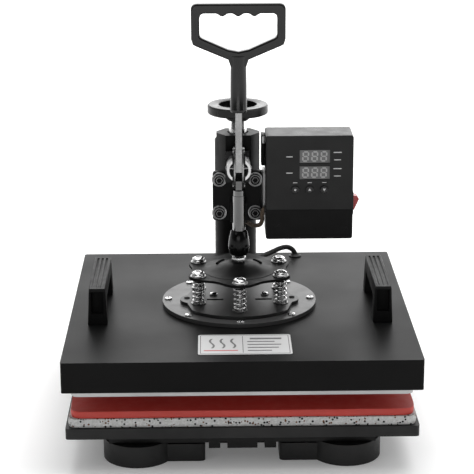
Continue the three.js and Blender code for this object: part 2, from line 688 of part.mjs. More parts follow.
function leverBar() {
  const b = LEVER.bar;
  const bottom = pivotZ - b.heelDrop;
  const top = pivotZ + GRIP.stemBase + b.insert;
  const shape = new THREE.Shape();
  shape.moveTo(b.front, top);
  shape.lineTo(b.front, bottom + 3);
  shape.lineTo(b.front + 3, bottom);
  shape.lineTo(b.heelBack - 3, bottom);
  shape.lineTo(b.heelBack, bottom + 3);
  shape.lineTo(b.heelBack, pivotZ + b.heelTop);
  shape.lineTo(b.back, pivotZ + b.heelTop + 6);
  shape.lineTo(b.back, top);
  const bar = alongX(shape, -LEVER.thickness / 2, LEVER.thickness / 2);
  const across = (z) => rodX(PIN.radius + RUNNING, -LEVER.thickness, LEVER.thickness, 0, z);
  return cut(bar, across(pivotZ), across(linkHighZ));
}

function gripOutline() {
  const d = GRIP.d;
  const z0 = pivotZ + GRIP.dBase;
  const shape = new THREE.Shape();
  shape.moveTo(-d.throat, z0);
  shape.lineTo(d.throat, z0);
  shape.lineTo(d.halfWidth - d.corner, z0 + d.shoulder - 2);
  shape.quadraticCurveTo(d.halfWidth, z0 + d.shoulder, d.halfWidth, z0 + d.shoulder + d.corner);
  shape.lineTo(d.halfWidth, z0 + d.height - d.corner);
  shape.absarc(d.halfWidth - d.corner, z0 + d.height - d.corner, d.corner, 0, Math.PI / 2);
  shape.lineTo(-d.halfWidth + d.corner, z0 + d.height);
  shape.absarc(-d.halfWidth + d.corner, z0 + d.height - d.corner, d.corner, Math.PI / 2, Math.PI);
  shape.lineTo(-d.halfWidth, z0 + d.shoulder + d.corner);
  shape.quadraticCurveTo(-d.halfWidth, z0 + d.shoulder, -d.halfWidth + d.corner, z0 + d.shoulder - 2);
  shape.closePath();
  const inner = d.halfWidth - d.bar;
  const low = z0 + d.throatRise;
  const high = z0 + d.height - d.bar - 2;
  const hole = new THREE.Path();
  hole.moveTo(0, low - 1.5);
  hole.lineTo(-d.throat, low);
  hole.lineTo(-inner + 3, low + d.shoulder - 4);
  hole.quadraticCurveTo(-inner, low + d.shoulder - 3, -inner, low + d.shoulder);
  hole.lineTo(-inner, high - 4);
  hole.quadraticCurveTo(-inner, high, -inner + 4, high);
  hole.lineTo(inner - 4, high);
  hole.quadraticCurveTo(inner, high, inner, high - 4);
  hole.lineTo(inner, low + d.shoulder);
  hole.quadraticCurveTo(inner, low + d.shoulder - 3, inner - 3, low + d.shoulder - 4);
  hole.lineTo(d.throat, low);
  shape.holes.push(hole);
  return shape;
}

function handleGrip() {
  const loop = alongY(gripOutline(), GRIP.y - GRIP.depth / 2, GRIP.y + GRIP.depth / 2, 5);
  const z0 = pivotZ + GRIP.stemBase;
  const z1 = pivotZ + GRIP.dBase + 3;
  const profile = [[0, z0], [GRIP.stemBottom, z0], [GRIP.stemTop, z1], [0, z1]];
  const stem = turned(profile, 0, GRIP.y, 28);
  const x = LEVER.thickness / 2 + GAP;
  const top = pivotZ + GRIP.stemBase + LEVER.bar.insert + GAP;
  const pocket = box(-x, x, LEVER.bar.front - GAP, LEVER.bar.back + GAP, z0 - 1, top);
  return cut(joined(stem, loop), pocket);
}

// A link is a bowed strap that passes in front of the lever's pivot pin.
function toggleLink(side) {
  const half = LEVER.linkLength / 2;
  const arc = (half * half + LINK.bow * LINK.bow) / (2 * LINK.bow);
  const spread = Math.asin(half / arc);
  const middleZ = (linkHighZ + linkLowZ) / 2;
  const centreY = arc - LINK.bow;
  const r = LINK.width / 2;
  const shape = new THREE.Shape();
  shape.absarc(centreY, middleZ, arc + r, Math.PI - spread, Math.PI + spread);
  shape.absarc(0, linkLowZ, r, Math.PI + spread, 2 * Math.PI + spread);
  shape.absarc(centreY, middleZ, arc - r, Math.PI + spread, Math.PI - spread, true);
  shape.absarc(0, linkHighZ, r, -spread, Math.PI - spread);
  const inner = LEVER.thickness / 2 + LINK.side;
  const outer = inner + LINK.thickness;
  const strap = alongX(shape, side < 0 ? -outer : inner, side < 0 ? -inner : outer, 10);
  const edge = side * outer;
  const tip = side * (outer + PIN.headHeight);
  const root = edge - side;
  const head = rodX(PIN.head, Math.min(root, tip), Math.max(root, tip), 0, linkHighZ);
  const hole = rodX(PIN.radius + RUNNING, -4 * inner, 4 * inner, 0, linkLowZ);
  return cut(joined(strap, head), hole);
}

function linkPin() {
  const inner = LEVER.thickness / 2 + LINK.side + LINK.thickness + GAP;
  const end = inner + PIN.headHeight;
  const shaft = rodX(PIN.radius, -end, end, 0, linkLowZ);
  return joined(shaft, rodX(PIN.head, -end, -inner, 0, linkLowZ), rodX(PIN.head, inner, end, 0, linkLowZ));
}

function addLever() {
  add("lever_bar", leverBar(), zinc);
  add("handle_grip", handleGrip(), blackPlastic);
  add("link_left", toggleLink(-1), chrome);
  add("link_right", toggleLink(1), chrome);
}

// ---------------------------------------------------------------- plunger

function plungerRod() {
  const t = ROD.tongue;
  const pieces = [
    rodZ(ROD.stud, rodBottom, barrelBottom, 0, 0, 24),
    rodZ(ROD.core, barrelBottom - 1, barrelTop + 1, 0, 0, 24),
    rodZ(ROD.radius, barrelTop + GAP, neckBottom, 0, 0, 32),
    rodZ(ROD.neck, neckBottom - 1, tongueBottom, 0, 0, 24),
    box(-t.width / 2, t.width / 2, -t.depth / 2, t.depth / 2, tongueBottom - 1, tongueBottom + t.length),
  ];
  const hole = rodX(PIN.radius + GAP, -t.width, t.width, 0, linkLowZ);
  return cut(joined(...pieces), hole);
}

function couplingBarrel() {
  const inner = ROD.core + GAP;
  const steps = 6;
  const profile = [[inner, barrelTop - GAP], [inner, barrelBottom + GAP]];
  for (let i = 0; i <= steps; i++) {
    const swell = Math.sin((i / steps) * Math.PI);
    const z = barrelBottom + GAP + (i / steps) * (BARREL.length - 2 * GAP);
    profile.push([BARREL.end + (BARREL.middle - BARREL.end) * swell, z]);
  }
  return turnedRing(profile, 0, 0, 28);
}

function boltPlaces() {
  const places = [];
  for (let i = 0; i < SPRING_BOLT.count; i++) {
    const angle = -Math.PI / 2 + (i * 2 * Math.PI) / SPRING_BOLT.count;
    places.push({ x: SPRING_BOLT.circle * Math.cos(angle), y: SPRING_BOLT.circle * Math.sin(angle) });
  }
  return places;
}

function topPlate() {
  const points = [];
  for (let i = 0; i < TOP_PLATE.steps; i++) {
    const angle = (i * 2 * Math.PI) / TOP_PLATE.steps;
    const radius = TOP_PLATE.meanRadius + TOP_PLATE.lobe * Math.cos(SPRING_BOLT.count * (angle + Math.PI / 2));
    points.push([radius * Math.cos(angle), radius * Math.sin(angle)]);
  }
  const plate = raised(polygon(points), topPlateBottom, topPlateTop);
  const holes = boltPlaces().map(({ x, y }) => {
    return rodZ(SPRING_BOLT.shank + RUNNING, topPlateBottom - 1, topPlateTop + 1, x, y, 20);
  });
  return cut(plate, ...holes);
}

function pressureDome() {
  const z0 = topPlateTop + GAP;
  const steps = 5;
  const profile = [[0, z0], [DOME.radius, z0]];
  for (let i = 0; i <= steps; i++) {
    const t = i / steps;
    const radius = DOME.radius - 1 + (DOME.flat - DOME.radius + 1) * t;
    profile.push([radius, z0 + 1.2 + (DOME.height - 1.2) * Math.sin((t * Math.PI) / 2)]);
  }
  profile.push([0, z0 + DOME.height]);
  return turned(profile, 0, 0, 36);
}

function addPlunger() {
  add("plunger_rod", plungerRod(), chrome);
  add("coupling_barrel", couplingBarrel(), blackPlastic);
  add("link_pin", linkPin(), zinc);
  add("pressure_dome", pressureDome(), blackPaint);
  add("top_plate", topPlate(), blackPaint);
}

// ---------------------------------------------------------------- upper platen

// The lower spring plate carries six long bolts, which hang from the top plate.
function springPlate() {
  const p = SPRING_PLATE;
  const shape = new THREE.Shape();
  const down = -Math.PI / 2;
  shape.absarc(0, 0, p.frontRadius, down - p.frontAngle, down + p.frontAngle);
  const open = Math.PI / 3;
  shape.absarc(p.earX, p.earY, p.earRadius, -open, open);
  shape.absarc(0, 0, p.backRadius, -down - p.frontAngle, -down + p.frontAngle);
  shape.absarc(-p.earX, p.earY, p.earRadius, Math.PI - open, Math.PI + open);
  const z0 = discTop + GAP;
  const plate = raised(shape, z0, springPlateTop, 9);
  const slots = [-1, 1].map((side) => {
    const x = side * p.slot.x;
    const half = p.slot.length / 2;
    return box(x - half, x + half, p.slot.y, p.slot.y + p.slot.width, z0 - 1, springPlateTop + 1);
  });
  const bolts = boltPlaces().flatMap(({ x, y }) => [
    rodZ(SPRING_BOLT.shank, springPlateTop - 1, topPlateTop + GAP + 1, x, y, 16),
    rodZ(SPRING_BOLT.head, topPlateTop + GAP, topPlateTop + GAP + SPRING_BOLT.headHeight, x, y, 18),
  ]);
  return joined(cut(plate, ...slots), ...bolts);
}

class CoilCurve extends THREE.Curve {
  constructor(x, y, z) {
    super();
    this.start = new THREE.Vector3(x, y, z);
  }

  getPoint(t, target = new THREE.Vector3()) {
    const angle = t * SPRING.turns * 2 * Math.PI;
    const height = SPRING.length - 2 * SPRING.wireRadius - 2 * GAP;
    const rise = SPRING.wireRadius + GAP + t * height;
    const r = SPRING.coilRadius;
    return target.set(r * Math.cos(angle), r * Math.sin(angle), rise).add(this.start);
  }
}

function wireSection(radius, sides) {
  const points = [];
  for (let i = 0; i < sides; i++) {
    const angle = (i * 2 * Math.PI) / sides;
    points.push([radius * Math.cos(angle), radius * Math.sin(angle)]);
  }
  return polygon(points);
}

function spring({ x, y }) {
  const extrudePath = new CoilCurve(x, y, springBottom);
  const steps = Math.round(SPRING.turns * SPRING.stepsPerTurn);
  return new THREE.ExtrudeGeometry(wireSection(SPRING.wireRadius, SPRING.wireSides), {
    steps,
    extrudePath,
    bevelEnabled: false,
  });
}

// The cover is a folded sheet box, open underneath, with a hole for the heater's lead.
function platenCover() {
  const shell = squareSlab(COVER.side, COVER.corner, coverBottom, coverTop);
  const inside = squareSlab(COVER.side - 2 * COVER.wall, COVER.corner / 2, coverBottom - 1,
    coverTop - COVER.wall);
  const hole = rodZ(CABLE.radius + 2 * GAP, coverTop - 2 * COVER.wall, coverTop + 1, CABLE.gland.x,
    CABLE.gland.y);
  return cut(shell, inside, hole);
}

function insulation() {
  const z0 = heaterBottom + HEATER.thickness + GAP;
  return squareSlab(INSULATION.side, HEATER.corner, z0, coverTop - COVER.wall - GAP);
}

function sideHandle(side) {
  const h = SIDE_HANDLE;
  const z0 = coverTop + GAP;
  const z1 = z0 + h.height;
  const c = h.chamfer;
  const shape = polygon([
    [h.front, z0],
    [h.front + h.leg, z0],
    [h.front + h.leg, z0 + h.opening - c],
    [h.front + h.leg + c, z0 + h.opening],
    [h.back - h.leg - c, z0 + h.opening],
    [h.back - h.leg, z0 + h.opening - c],
    [h.back - h.leg, z0],
    [h.back, z0],
    [h.back, z1 - c],
    [h.back - c, z1],
    [h.front + c, z1],
    [h.front, z1 - c],
  ]);
  const bar = alongX(shape, side * h.x - h.halfWidth, side * h.x + h.halfWidth);
  const draft = (h.halfWidth - h.topHalf) / h.height;
  const position = bar.attributes.position;
  for (let i = 0; i < position.count; i++) {
    const narrowing = 1 - (draft * (position.getZ(i) - z0)) / h.halfWidth;
    position.setX(i, side * h.x + (position.getX(i) - side * h.x) * narrowing);
  }
  return bar;
}

function cableGland() {
  const g = CABLE.gland;
  const z0 = coverTop + GAP;
  const inner = CABLE.radius + 2 * GAP;
  const profile = [
    [inner, z0],
    [g.flange, z0],
    [g.flange, z0 + g.flangeHeight],
    [g.radius, z0 + g.flangeHeight + 0.5],
    [g.radius - 1.5, z0 + g.height],
    [inner, z0 + g.height],
  ];
  return turnedRing(profile, g.x, g.y, 24);
}

// The heater's lead runs from the carriage, behind the plunger, to the gland on the cover.
function heaterCable() {
  const g = CABLE.gland;
  const across = g.x;
  const back = g.y - HEAD.y;
  const up = datum + SLIDE.bottom + CABLE.insideSlide - coverTop;
  const pastPlate = TOP_PLATE.meanRadius + TOP_PLATE.lobe + 2.5 * CABLE.radius - HEAD.y;
  const route = [
    [0, 0, up],
    [0, 0, 0.84 * up],
    [0, 0.03 * back, 0.69 * up],
    [0.013 * across, 0.107 * back, 0.53 * up],
    [0.039 * across, Math.max(0.228 * back, pastPlate), 0.36 * up],
    [0.09 * across, 0.38 * back, 0.22 * up],
    [0.17 * across, 0.548 * back, 13],
    [0.3 * across, 0.708 * back, 8],
    [0.455 * across, 0.83 * back, 8],
    [0.623 * across, 0.921 * back, 10],
    [0.766 * across, 0.974 * back, 12.5],
    [0.877 * across, 0.996 * back, 12.5],
    [across - 3, back, 8.5],
    [across, back, 3],
    [across, back, -0.6],
  ].map(([x, y, z]) => new THREE.Vector3(x, HEAD.y + y, coverTop + z));
  const extrudePath = new THREE.CatmullRomCurve3(route, false, "centripetal");
  return new THREE.ExtrudeGeometry(wireSection(CABLE.radius, CABLE.sides), {
    steps: CABLE.steps,
    extrudePath,
    bevelEnabled: false,
  });
}

function addUpperPlaten() {
  add("spring_plate", springPlate(), blackPaint);
  boltPlaces().forEach((place, index) => add(`spring_${index + 1}`, spring(place), chrome));
  add("mount_disc", rodZ(DISC.radius, coverTop + GAP, discTop, 0, 0, 64), blackPaint);
  add("platen_cover", platenCover(), blackPaint);
  const heaterTop = heaterBottom + HEATER.thickness;
  add("heater_plate", squareSlab(HEATER.side, HEATER.corner, heaterBottom, heaterTop), aluminium);
  add("insulation_slab", insulation(), mineralWool);
  add("side_handle_left", sideHandle(-1), blackPlastic);
  add("side_handle_right", sideHandle(1), blackPlastic);
  add("cable_gland", cableGland(), blackRubber);
  add("heater_cable", heaterCable(), blackRubber);
}

// ---------------------------------------------------------------- whole press

addBase();
addSwingArm();
addPressureScrew();
addCarriage();
addControlBox();
addLever();
addPlunger();
addUpperPlaten();

const footprintMiddle = (BASE.rearEnd - COVER.side / 2) / 2;
press.position.y = -footprintMiddle;

export default press;
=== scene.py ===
"""Looks of a swing-away flat heat press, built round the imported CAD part. Metres, +Z up."""

import math
import random

import bmesh
import bpy
from mathutils import Matrix, Vector


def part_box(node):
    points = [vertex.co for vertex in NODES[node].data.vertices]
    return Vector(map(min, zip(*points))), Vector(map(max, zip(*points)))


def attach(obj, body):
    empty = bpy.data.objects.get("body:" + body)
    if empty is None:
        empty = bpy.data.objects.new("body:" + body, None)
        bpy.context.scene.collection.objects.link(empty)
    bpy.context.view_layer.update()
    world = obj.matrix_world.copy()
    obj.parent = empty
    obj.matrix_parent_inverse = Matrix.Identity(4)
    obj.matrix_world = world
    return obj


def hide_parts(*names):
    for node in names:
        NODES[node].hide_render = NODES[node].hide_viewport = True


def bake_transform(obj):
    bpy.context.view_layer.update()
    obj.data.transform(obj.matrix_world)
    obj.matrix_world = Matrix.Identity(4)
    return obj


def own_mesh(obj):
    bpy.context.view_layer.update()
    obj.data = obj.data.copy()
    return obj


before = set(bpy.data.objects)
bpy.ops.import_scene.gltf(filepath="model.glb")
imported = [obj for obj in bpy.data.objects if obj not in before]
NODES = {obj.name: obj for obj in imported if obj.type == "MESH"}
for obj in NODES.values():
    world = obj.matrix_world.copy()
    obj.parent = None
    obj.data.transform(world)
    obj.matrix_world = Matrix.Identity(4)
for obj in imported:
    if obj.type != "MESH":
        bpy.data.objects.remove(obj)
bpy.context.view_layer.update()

# ---- where things are, from the CAD

COVER_LOW, COVER_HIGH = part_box("platen_cover")
MID_Y = (COVER_LOW.y + COVER_HIGH.y) / 2
COVER_TOP = COVER_HIGH.z
PIVOT_Z = sum(v.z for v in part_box("lever_pin")) / 2
DISC_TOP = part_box("mount_disc")[1].z
TOP_PLATE_LOW, TOP_PLATE_HIGH = (v.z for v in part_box("top_plate"))
SPRING_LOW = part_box("spring_1")[0].z
SPRING_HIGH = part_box("spring_1")[1].z
BOX_LOW, BOX_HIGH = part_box("control_box")
PANEL_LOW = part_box("control_panel")[0]
HEAD_LOW, HEAD_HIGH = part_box("head_housing")
HEAD_Y = (HEAD_LOW.y + HEAD_HIGH.y) / 2
DOME_LOW, DOME_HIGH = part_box("pressure_dome")
MM = 0.001
LEVER_ABOVE_DATUM = 0.16725  # the supply lead's heights count from this far below the lever pin


def at(x, y, z):
    """A point given in millimetres from the platen's centre in plan, and in metres of height."""
    return Vector((x * MM, MID_Y + y * MM, z))


def centre(low, high):
    return [(a + b) / 2 for a, b in zip(low, high)]


# ---- node helpers


class Nodes:
    """One material's node tree, with short ways to add the nodes used here."""

    def __init__(self, name):
        self.material = bpy.data.materials.new(name)
        self.material.use_nodes = True
        self.tree = self.material.node_tree
        self.shader = next(n for n in self.tree.nodes if n.type == "BSDF_PRINCIPLED")
        self.coords = self.tree.nodes.new("ShaderNodeTexCoord")

    def new(self, kind, **settings):
        node = self.tree.nodes.new(kind)
        for key, value in settings.items():
            setattr(node, key, value)
        return node

    def link(self, out, to):
        self.tree.links.new(out, to)

    def place(self, stretch=(1, 1, 1), source="Object"):
        mapping = self.new("ShaderNodeMapping")
        mapping.inputs["Scale"].default_value = stretch
        self.link(self.coords.outputs[source], mapping.inputs["Vector"])
        return mapping.outputs["Vector"]

    def noise(self, scale, detail=3.0, stretch=(1, 1, 1), distortion=0.0):
        node = self.new("ShaderNodeTexNoise")
        node.inputs["Scale"].default_value = scale
        node.inputs["Detail"].default_value = detail
        node.inputs["Distortion"].default_value = distortion
        self.link(self.place(stretch), node.inputs["Vector"])
        return node.outputs["Fac"]

    def voronoi(self, scale, feature="F1"):
        node = self.new("ShaderNodeTexVoronoi", feature=feature)
        node.inputs["Scale"].default_value = scale
        self.link(self.place(), node.inputs["Vector"])
        return node

    def ramp(self, value, stops, sharp=False):
        """Colours by the value. A stop's colour is (red, green, blue), or one number for a grey."""
        node = self.new("ShaderNodeValToRGB")
        if sharp:
            node.color_ramp.interpolation = "CONSTANT"
        while len(node.color_ramp.elements) < len(stops):
            node.color_ramp.elements.new(0.5)
        for element, (position, colour) in zip(node.color_ramp.elements, stops):
            element.position = position
            rgb = colour if isinstance(colour, tuple) else (colour,) * 3
            element.color = (*rgb, 1)
        self.link(value, node.inputs["Fac"])
        return node.outputs["Color"]

    def span(self, value, low, high, from_low=0.3, from_high=0.7):
        node = self.new("ShaderNodeMapRange")
        node.inputs["From Min"].default_value = from_low
        node.inputs["From Max"].default_value = from_high
        node.inputs["To Min"].default_value = low
        node.inputs["To Max"].default_value = high
        self.link(value, node.inputs["Value"])
        return node.outputs["Result"]

    def math(self, operation, a, b):
        node = self.new("ShaderNodeMath", operation=operation)
        for socket, value in zip(node.inputs, (a, b)):
            if isinstance(value, (int, float)):
                socket.default_value = value
            else:
                self.link(value, socket)
        return node.outputs["Value"]

    def mix(self, factor, a, b):
        node = self.new("ShaderNodeMix", data_type="RGBA")
        self.link(factor, node.inputs["Factor"])
        self.link(a, node.inputs[6])
        self.link(b, node.inputs[7])
        return node.outputs[2]

    def height_mask(self, low, high):
        """1 above high, 0 below low, by the height of the point on the piece."""
        split = self.new("ShaderNodeSeparateXYZ")
        self.link(self.coords.outputs["Object"], split.inputs["Vector"])
        return self.span(split.outputs["Z"], 0.0, 1.0, low, high)

    def normal(self, height, strength, distance=0.0003, edge=0.0):
        bump = self.new("ShaderNodeBump")
        bump.inputs["Strength"].default_value = strength
        bump.inputs["Distance"].default_value = distance
        self.link(height, bump.inputs["Height"])
        if edge:
            bevel = self.new("ShaderNodeBevel", samples=4)
            bevel.inputs["Radius"].default_value = edge
            self.link(bevel.outputs["Normal"], bump.inputs["Normal"])
        self.link(bump.outputs["Normal"], self.shader.inputs["Normal"])

    def shades(self, value, dark, light):
        return self.ramp(value, [(0.3, dark), (0.7, light)])

    def colour(self, value):
        self.link(value, self.shader.inputs["Base Color"])

    def base(self, value, dark, light):
        """Base colour, from dark to light as the value rises."""
        self.colour(self.shades(value, dark, light))

    def rough(self, *span):
        """Roughness, from a value and the range it is spread over, as in span."""
        self.link(self.span(*span), self.shader.inputs["Roughness"])

    def set(self, **values):
        names = {
            "metallic": "Metallic",
            "specular": "Specular IOR Level",
            "coat": "Coat Weight",
            "coat_roughness": "Coat Roughness",
            "subsurface": "Subsurface Weight",
        }
        for key, value in values.items():
            self.shader.inputs[names[key]].default_value = value


def surface(
    name, dark, light, rough, metallic=0.0, cloud=14.0, grain=1400.0,
    bump=0.12, specular=0.4, coat=0.0, edge=0.0006, stretch=(1, 1, 1),
):
    """A finish that varies in tone, in gloss and in its fine grain, with softened edges."""
    n = Nodes(name)
    tone = n.noise(cloud, 4.0)
    n.base(tone, dark, light)
    fine = n.noise(grain, 2.0, stretch)
    smear = n.noise(cloud * 5, 5.0, stretch)
    n.rough(smear, rough[0], rough[1])
    n.normal(fine, bump, edge=edge)
    n.set(metallic=metallic, specular=specular, coat=coat, coat_roughness=0.12)
    return n.material


# ---- finishes


def cover_paint():
    n = Nodes("cover_satin_black")
    tone = n.noise(5.0, 3.0)
    n.base(tone, 0.005, 0.008)
    n.rough(n.noise(9.0, 4.0), 0.34, 0.44)
    n.normal(n.noise(2200.0, 2.0), 0.16, 0.0002, 0.0009)
    n.set(specular=0.05)
    return n.material


def threaded_steel():
    n = Nodes("steel_thread")
    tone = n.noise(40.0, 4.0)
    n.base(tone, 0.3, 0.42)
    n.rough(n.noise(220.0), 0.2, 0.34)
    wave = n.new("ShaderNodeTexWave", bands_direction="Z", wave_profile="TRI")
    wave.inputs["Scale"].default_value = 170.0
    n.link(n.coords.outputs["Object"], wave.inputs["Vector"])
    n.normal(wave.outputs["Fac"], 0.9, 0.0006)
    n.set(metallic=1.0)
    return n.material


def plunger_steel():
    """Polished chrome, with a thread on the stud at the foot of the rod, and painted reflection bands in its
    colour.
    """
    n = Nodes("chrome_rod_painted_reflection")
    # Painted reflection and shade: the Layer Weight facing value picks light and dark bands for the base
    # colour, added onto the steel's random tone.
    edge = n.new("ShaderNodeLayerWeight")
    edge.inputs["Blend"].default_value = 0.45
    shade = n.ramp(edge.outputs["Facing"], [(0.02, 0.07), (0.25, 0.12), (0.55, 0.32), (0.9, 0.2)])
    tone = n.shades(n.noise(22.0, 3.0), 0.05, 0.12)
    light = n.new("ShaderNodeMix", data_type="RGBA", blend_type="ADD")
    light.inputs["Factor"].default_value = 0.4
    n.link(shade, light.inputs[6])
    n.link(tone, light.inputs[7])
    n.colour(light.outputs[2])
    n.rough(n.noise(160.0, 4.0, (1, 1, 0.1)), 0.07, 0.16)
    wave = n.new("ShaderNodeTexWave", bands_direction="Z", wave_profile="TRI")
    wave.inputs["Scale"].default_value = 200.0
    n.link(n.coords.outputs["Object"], wave.inputs["Vector"])
    rod_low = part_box("plunger_rod")[0].z
    above = n.height_mask(rod_low + 0.008, rod_low + 0.009)
    thread = n.math("SUBTRACT", 1.0, above)
    n.normal(n.math("MULTIPLY", wave.outputs["Fac"], thread), 0.9, 0.0006, 0.0004)
    n.set(metallic=1.0)
    return n.material


def spring_plate_paint():
    """Black paint on the plate, bright steel on the bolts that stand above it."""
    n = Nodes("spring_plate_finish")
    bolt = n.height_mask(SPRING_LOW - 0.0004, SPRING_LOW + 0.0002)
    paint = n.shades(n.noise(30.0, 4.0), 0.007, 0.013)
    steel = n.shades(n.noise(60.0, 4.0), 0.5, 0.7)
    n.colour(n.mix(bolt, paint, steel))
    n.link(bolt, n.shader.inputs["Metallic"])
    n.rough(bolt, 0.38, 0.2, 0.0, 1.0)
    n.normal(n.noise(1500.0), 0.12, 0.0003, 0.0005)
    n.set(specular=0.4)
    return n.material


def sponge_foam():
    n = Nodes("sponge_speckled")
    body = n.shades(n.noise(500.0, 4.0), (0.46, 0.46, 0.45), (0.64, 0.645, 0.64))
    cells = n.voronoi(330.0)
    near = n.ramp(cells.outputs["Distance"], [(0.0, 1.0), (0.42, 0.0)], True)
    split = n.new("ShaderNodeSeparateColor")
    n.link(cells.outputs["Color"], split.inputs["Color"])
    chosen = n.math("GREATER_THAN", split.outputs["Red"], 0.56)
    brown = n.ramp(split.outputs["Green"], [(0.0, (0.012, 0.012, 0.012)), (0.62, (0.13, 0.06, 0.03))], True)
    fleck = n.math("MULTIPLY", near, chosen)
    n.colour(n.mix(fleck, body, brown))
    n.rough(n.noise(200.0), 0.85, 0.97)
    pores = n.voronoi(900.0)
    n.normal(pores.outputs["Distance"], 0.7, 0.0008)
    n.set(specular=0.15)
    return n.material


def silicone_red_painted_glow():
    n = Nodes("silicone_red_painted_glow")
    tone = n.noise(16.0, 5.0)
    n.base(tone, (0.36, 0.038, 0.028), (0.42, 0.046, 0.035))
    n.rough(n.noise(90.0), 0.42, 0.6)
    n.normal(n.noise(700.0, 4.0), 0.25, 0.0004)
    n.set(specular=0.35, subsurface=0.04)
    # Painted light: a faint red glow that lifts the pad where it lies in shade under the heater plate.
    n.shader.inputs["Emission Color"].default_value = (0.9, 0.06, 0.045, 1)
    n.shader.inputs["Emission Strength"].default_value = 0.05
    return n.material


def braid(name, first, second, turns_across, turns_along):
    """A woven sleeve: two sets of strands wound opposite ways over the tube's own UV."""
    n = Nodes(name)
    strands = []
    for sign in (1, -1):
        wave = n.new("ShaderNodeTexWave", bands_direction="DIAGONAL", wave_profile="SIN")
        wave.inputs["Scale"].default_value = 1.0
        place = n.place((turns_along, sign * turns_across, 0), "UV")
        n.link(place, wave.inputs["Vector"])
        strands.append(wave.outputs["Fac"])
    weave = n.math("MAXIMUM", *strands)
    tone = n.math("MULTIPLY", weave, n.span(n.noise(500.0), 0.7, 1.0))
    n.colour(n.ramp(tone, [(0.25, first), (0.85, second)]))
    n.rough(weave, 0.85, 0.6, 0.0, 1.0)
    n.normal(weave, 0.8, 0.0006)
    n.set(specular=0.25)
    return n.material


def circuit_green():
    n = Nodes("circuit_board_green")
    tracks = n.voronoi(240.0, "DISTANCE_TO_EDGE")
    tone = n.ramp(tracks.outputs["Distance"], [(0.0, (0.1, 0.22, 0.08)), (0.08, (0.015, 0.09, 0.035))], True)
    n.colour(tone)
    n.rough(n.noise(300.0), 0.3, 0.5)
    n.normal(tracks.outputs["Distance"], 0.3)
    return n.material


def mineral_fibre():
    n = Nodes("mineral_wool_fibre")
    fibre = n.noise(420.0, 6.0, (1, 1, 6), 1.5)
    n.base(fibre, (0.5, 0.42, 0.24), (0.78, 0.72, 0.52))
    n.rough(n.noise(90.0), 0.88, 0.98)
    n.normal(fibre, 0.9, 0.001)
    return n.material


def clamp_zinc():
    """Bright zinc on the bent straps, black paint on the flat plate behind them."""
    n = Nodes("clamp_zinc_and_paint")
    split = n.new("ShaderNodeSeparateXYZ")
    n.link(n.coords.outputs["Object"], split.inputs["Vector"])
    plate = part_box("clamp_body")[1].y - 0.0024
    behind = n.span(split.outputs["Y"], 0.0, 1.0, plate - 0.0004, plate - 0.0002)
    zinc = n.shades(n.noise(60.0, 4.0), 0.42, 0.6)
    paint = n.shades(n.noise(30.0, 4.0), 0.004, 0.009)
    n.colour(n.mix(behind, zinc, paint))
    n.link(n.math("SUBTRACT", 1.0, behind), n.shader.inputs["Metallic"])
    n.rough(n.noise(90.0, 4.0), 0.22, 0.36)
    n.normal(n.noise(1400.0), 0.12, 0.0003, 0.0005)
    n.set(specular=0.2)
    return n.material


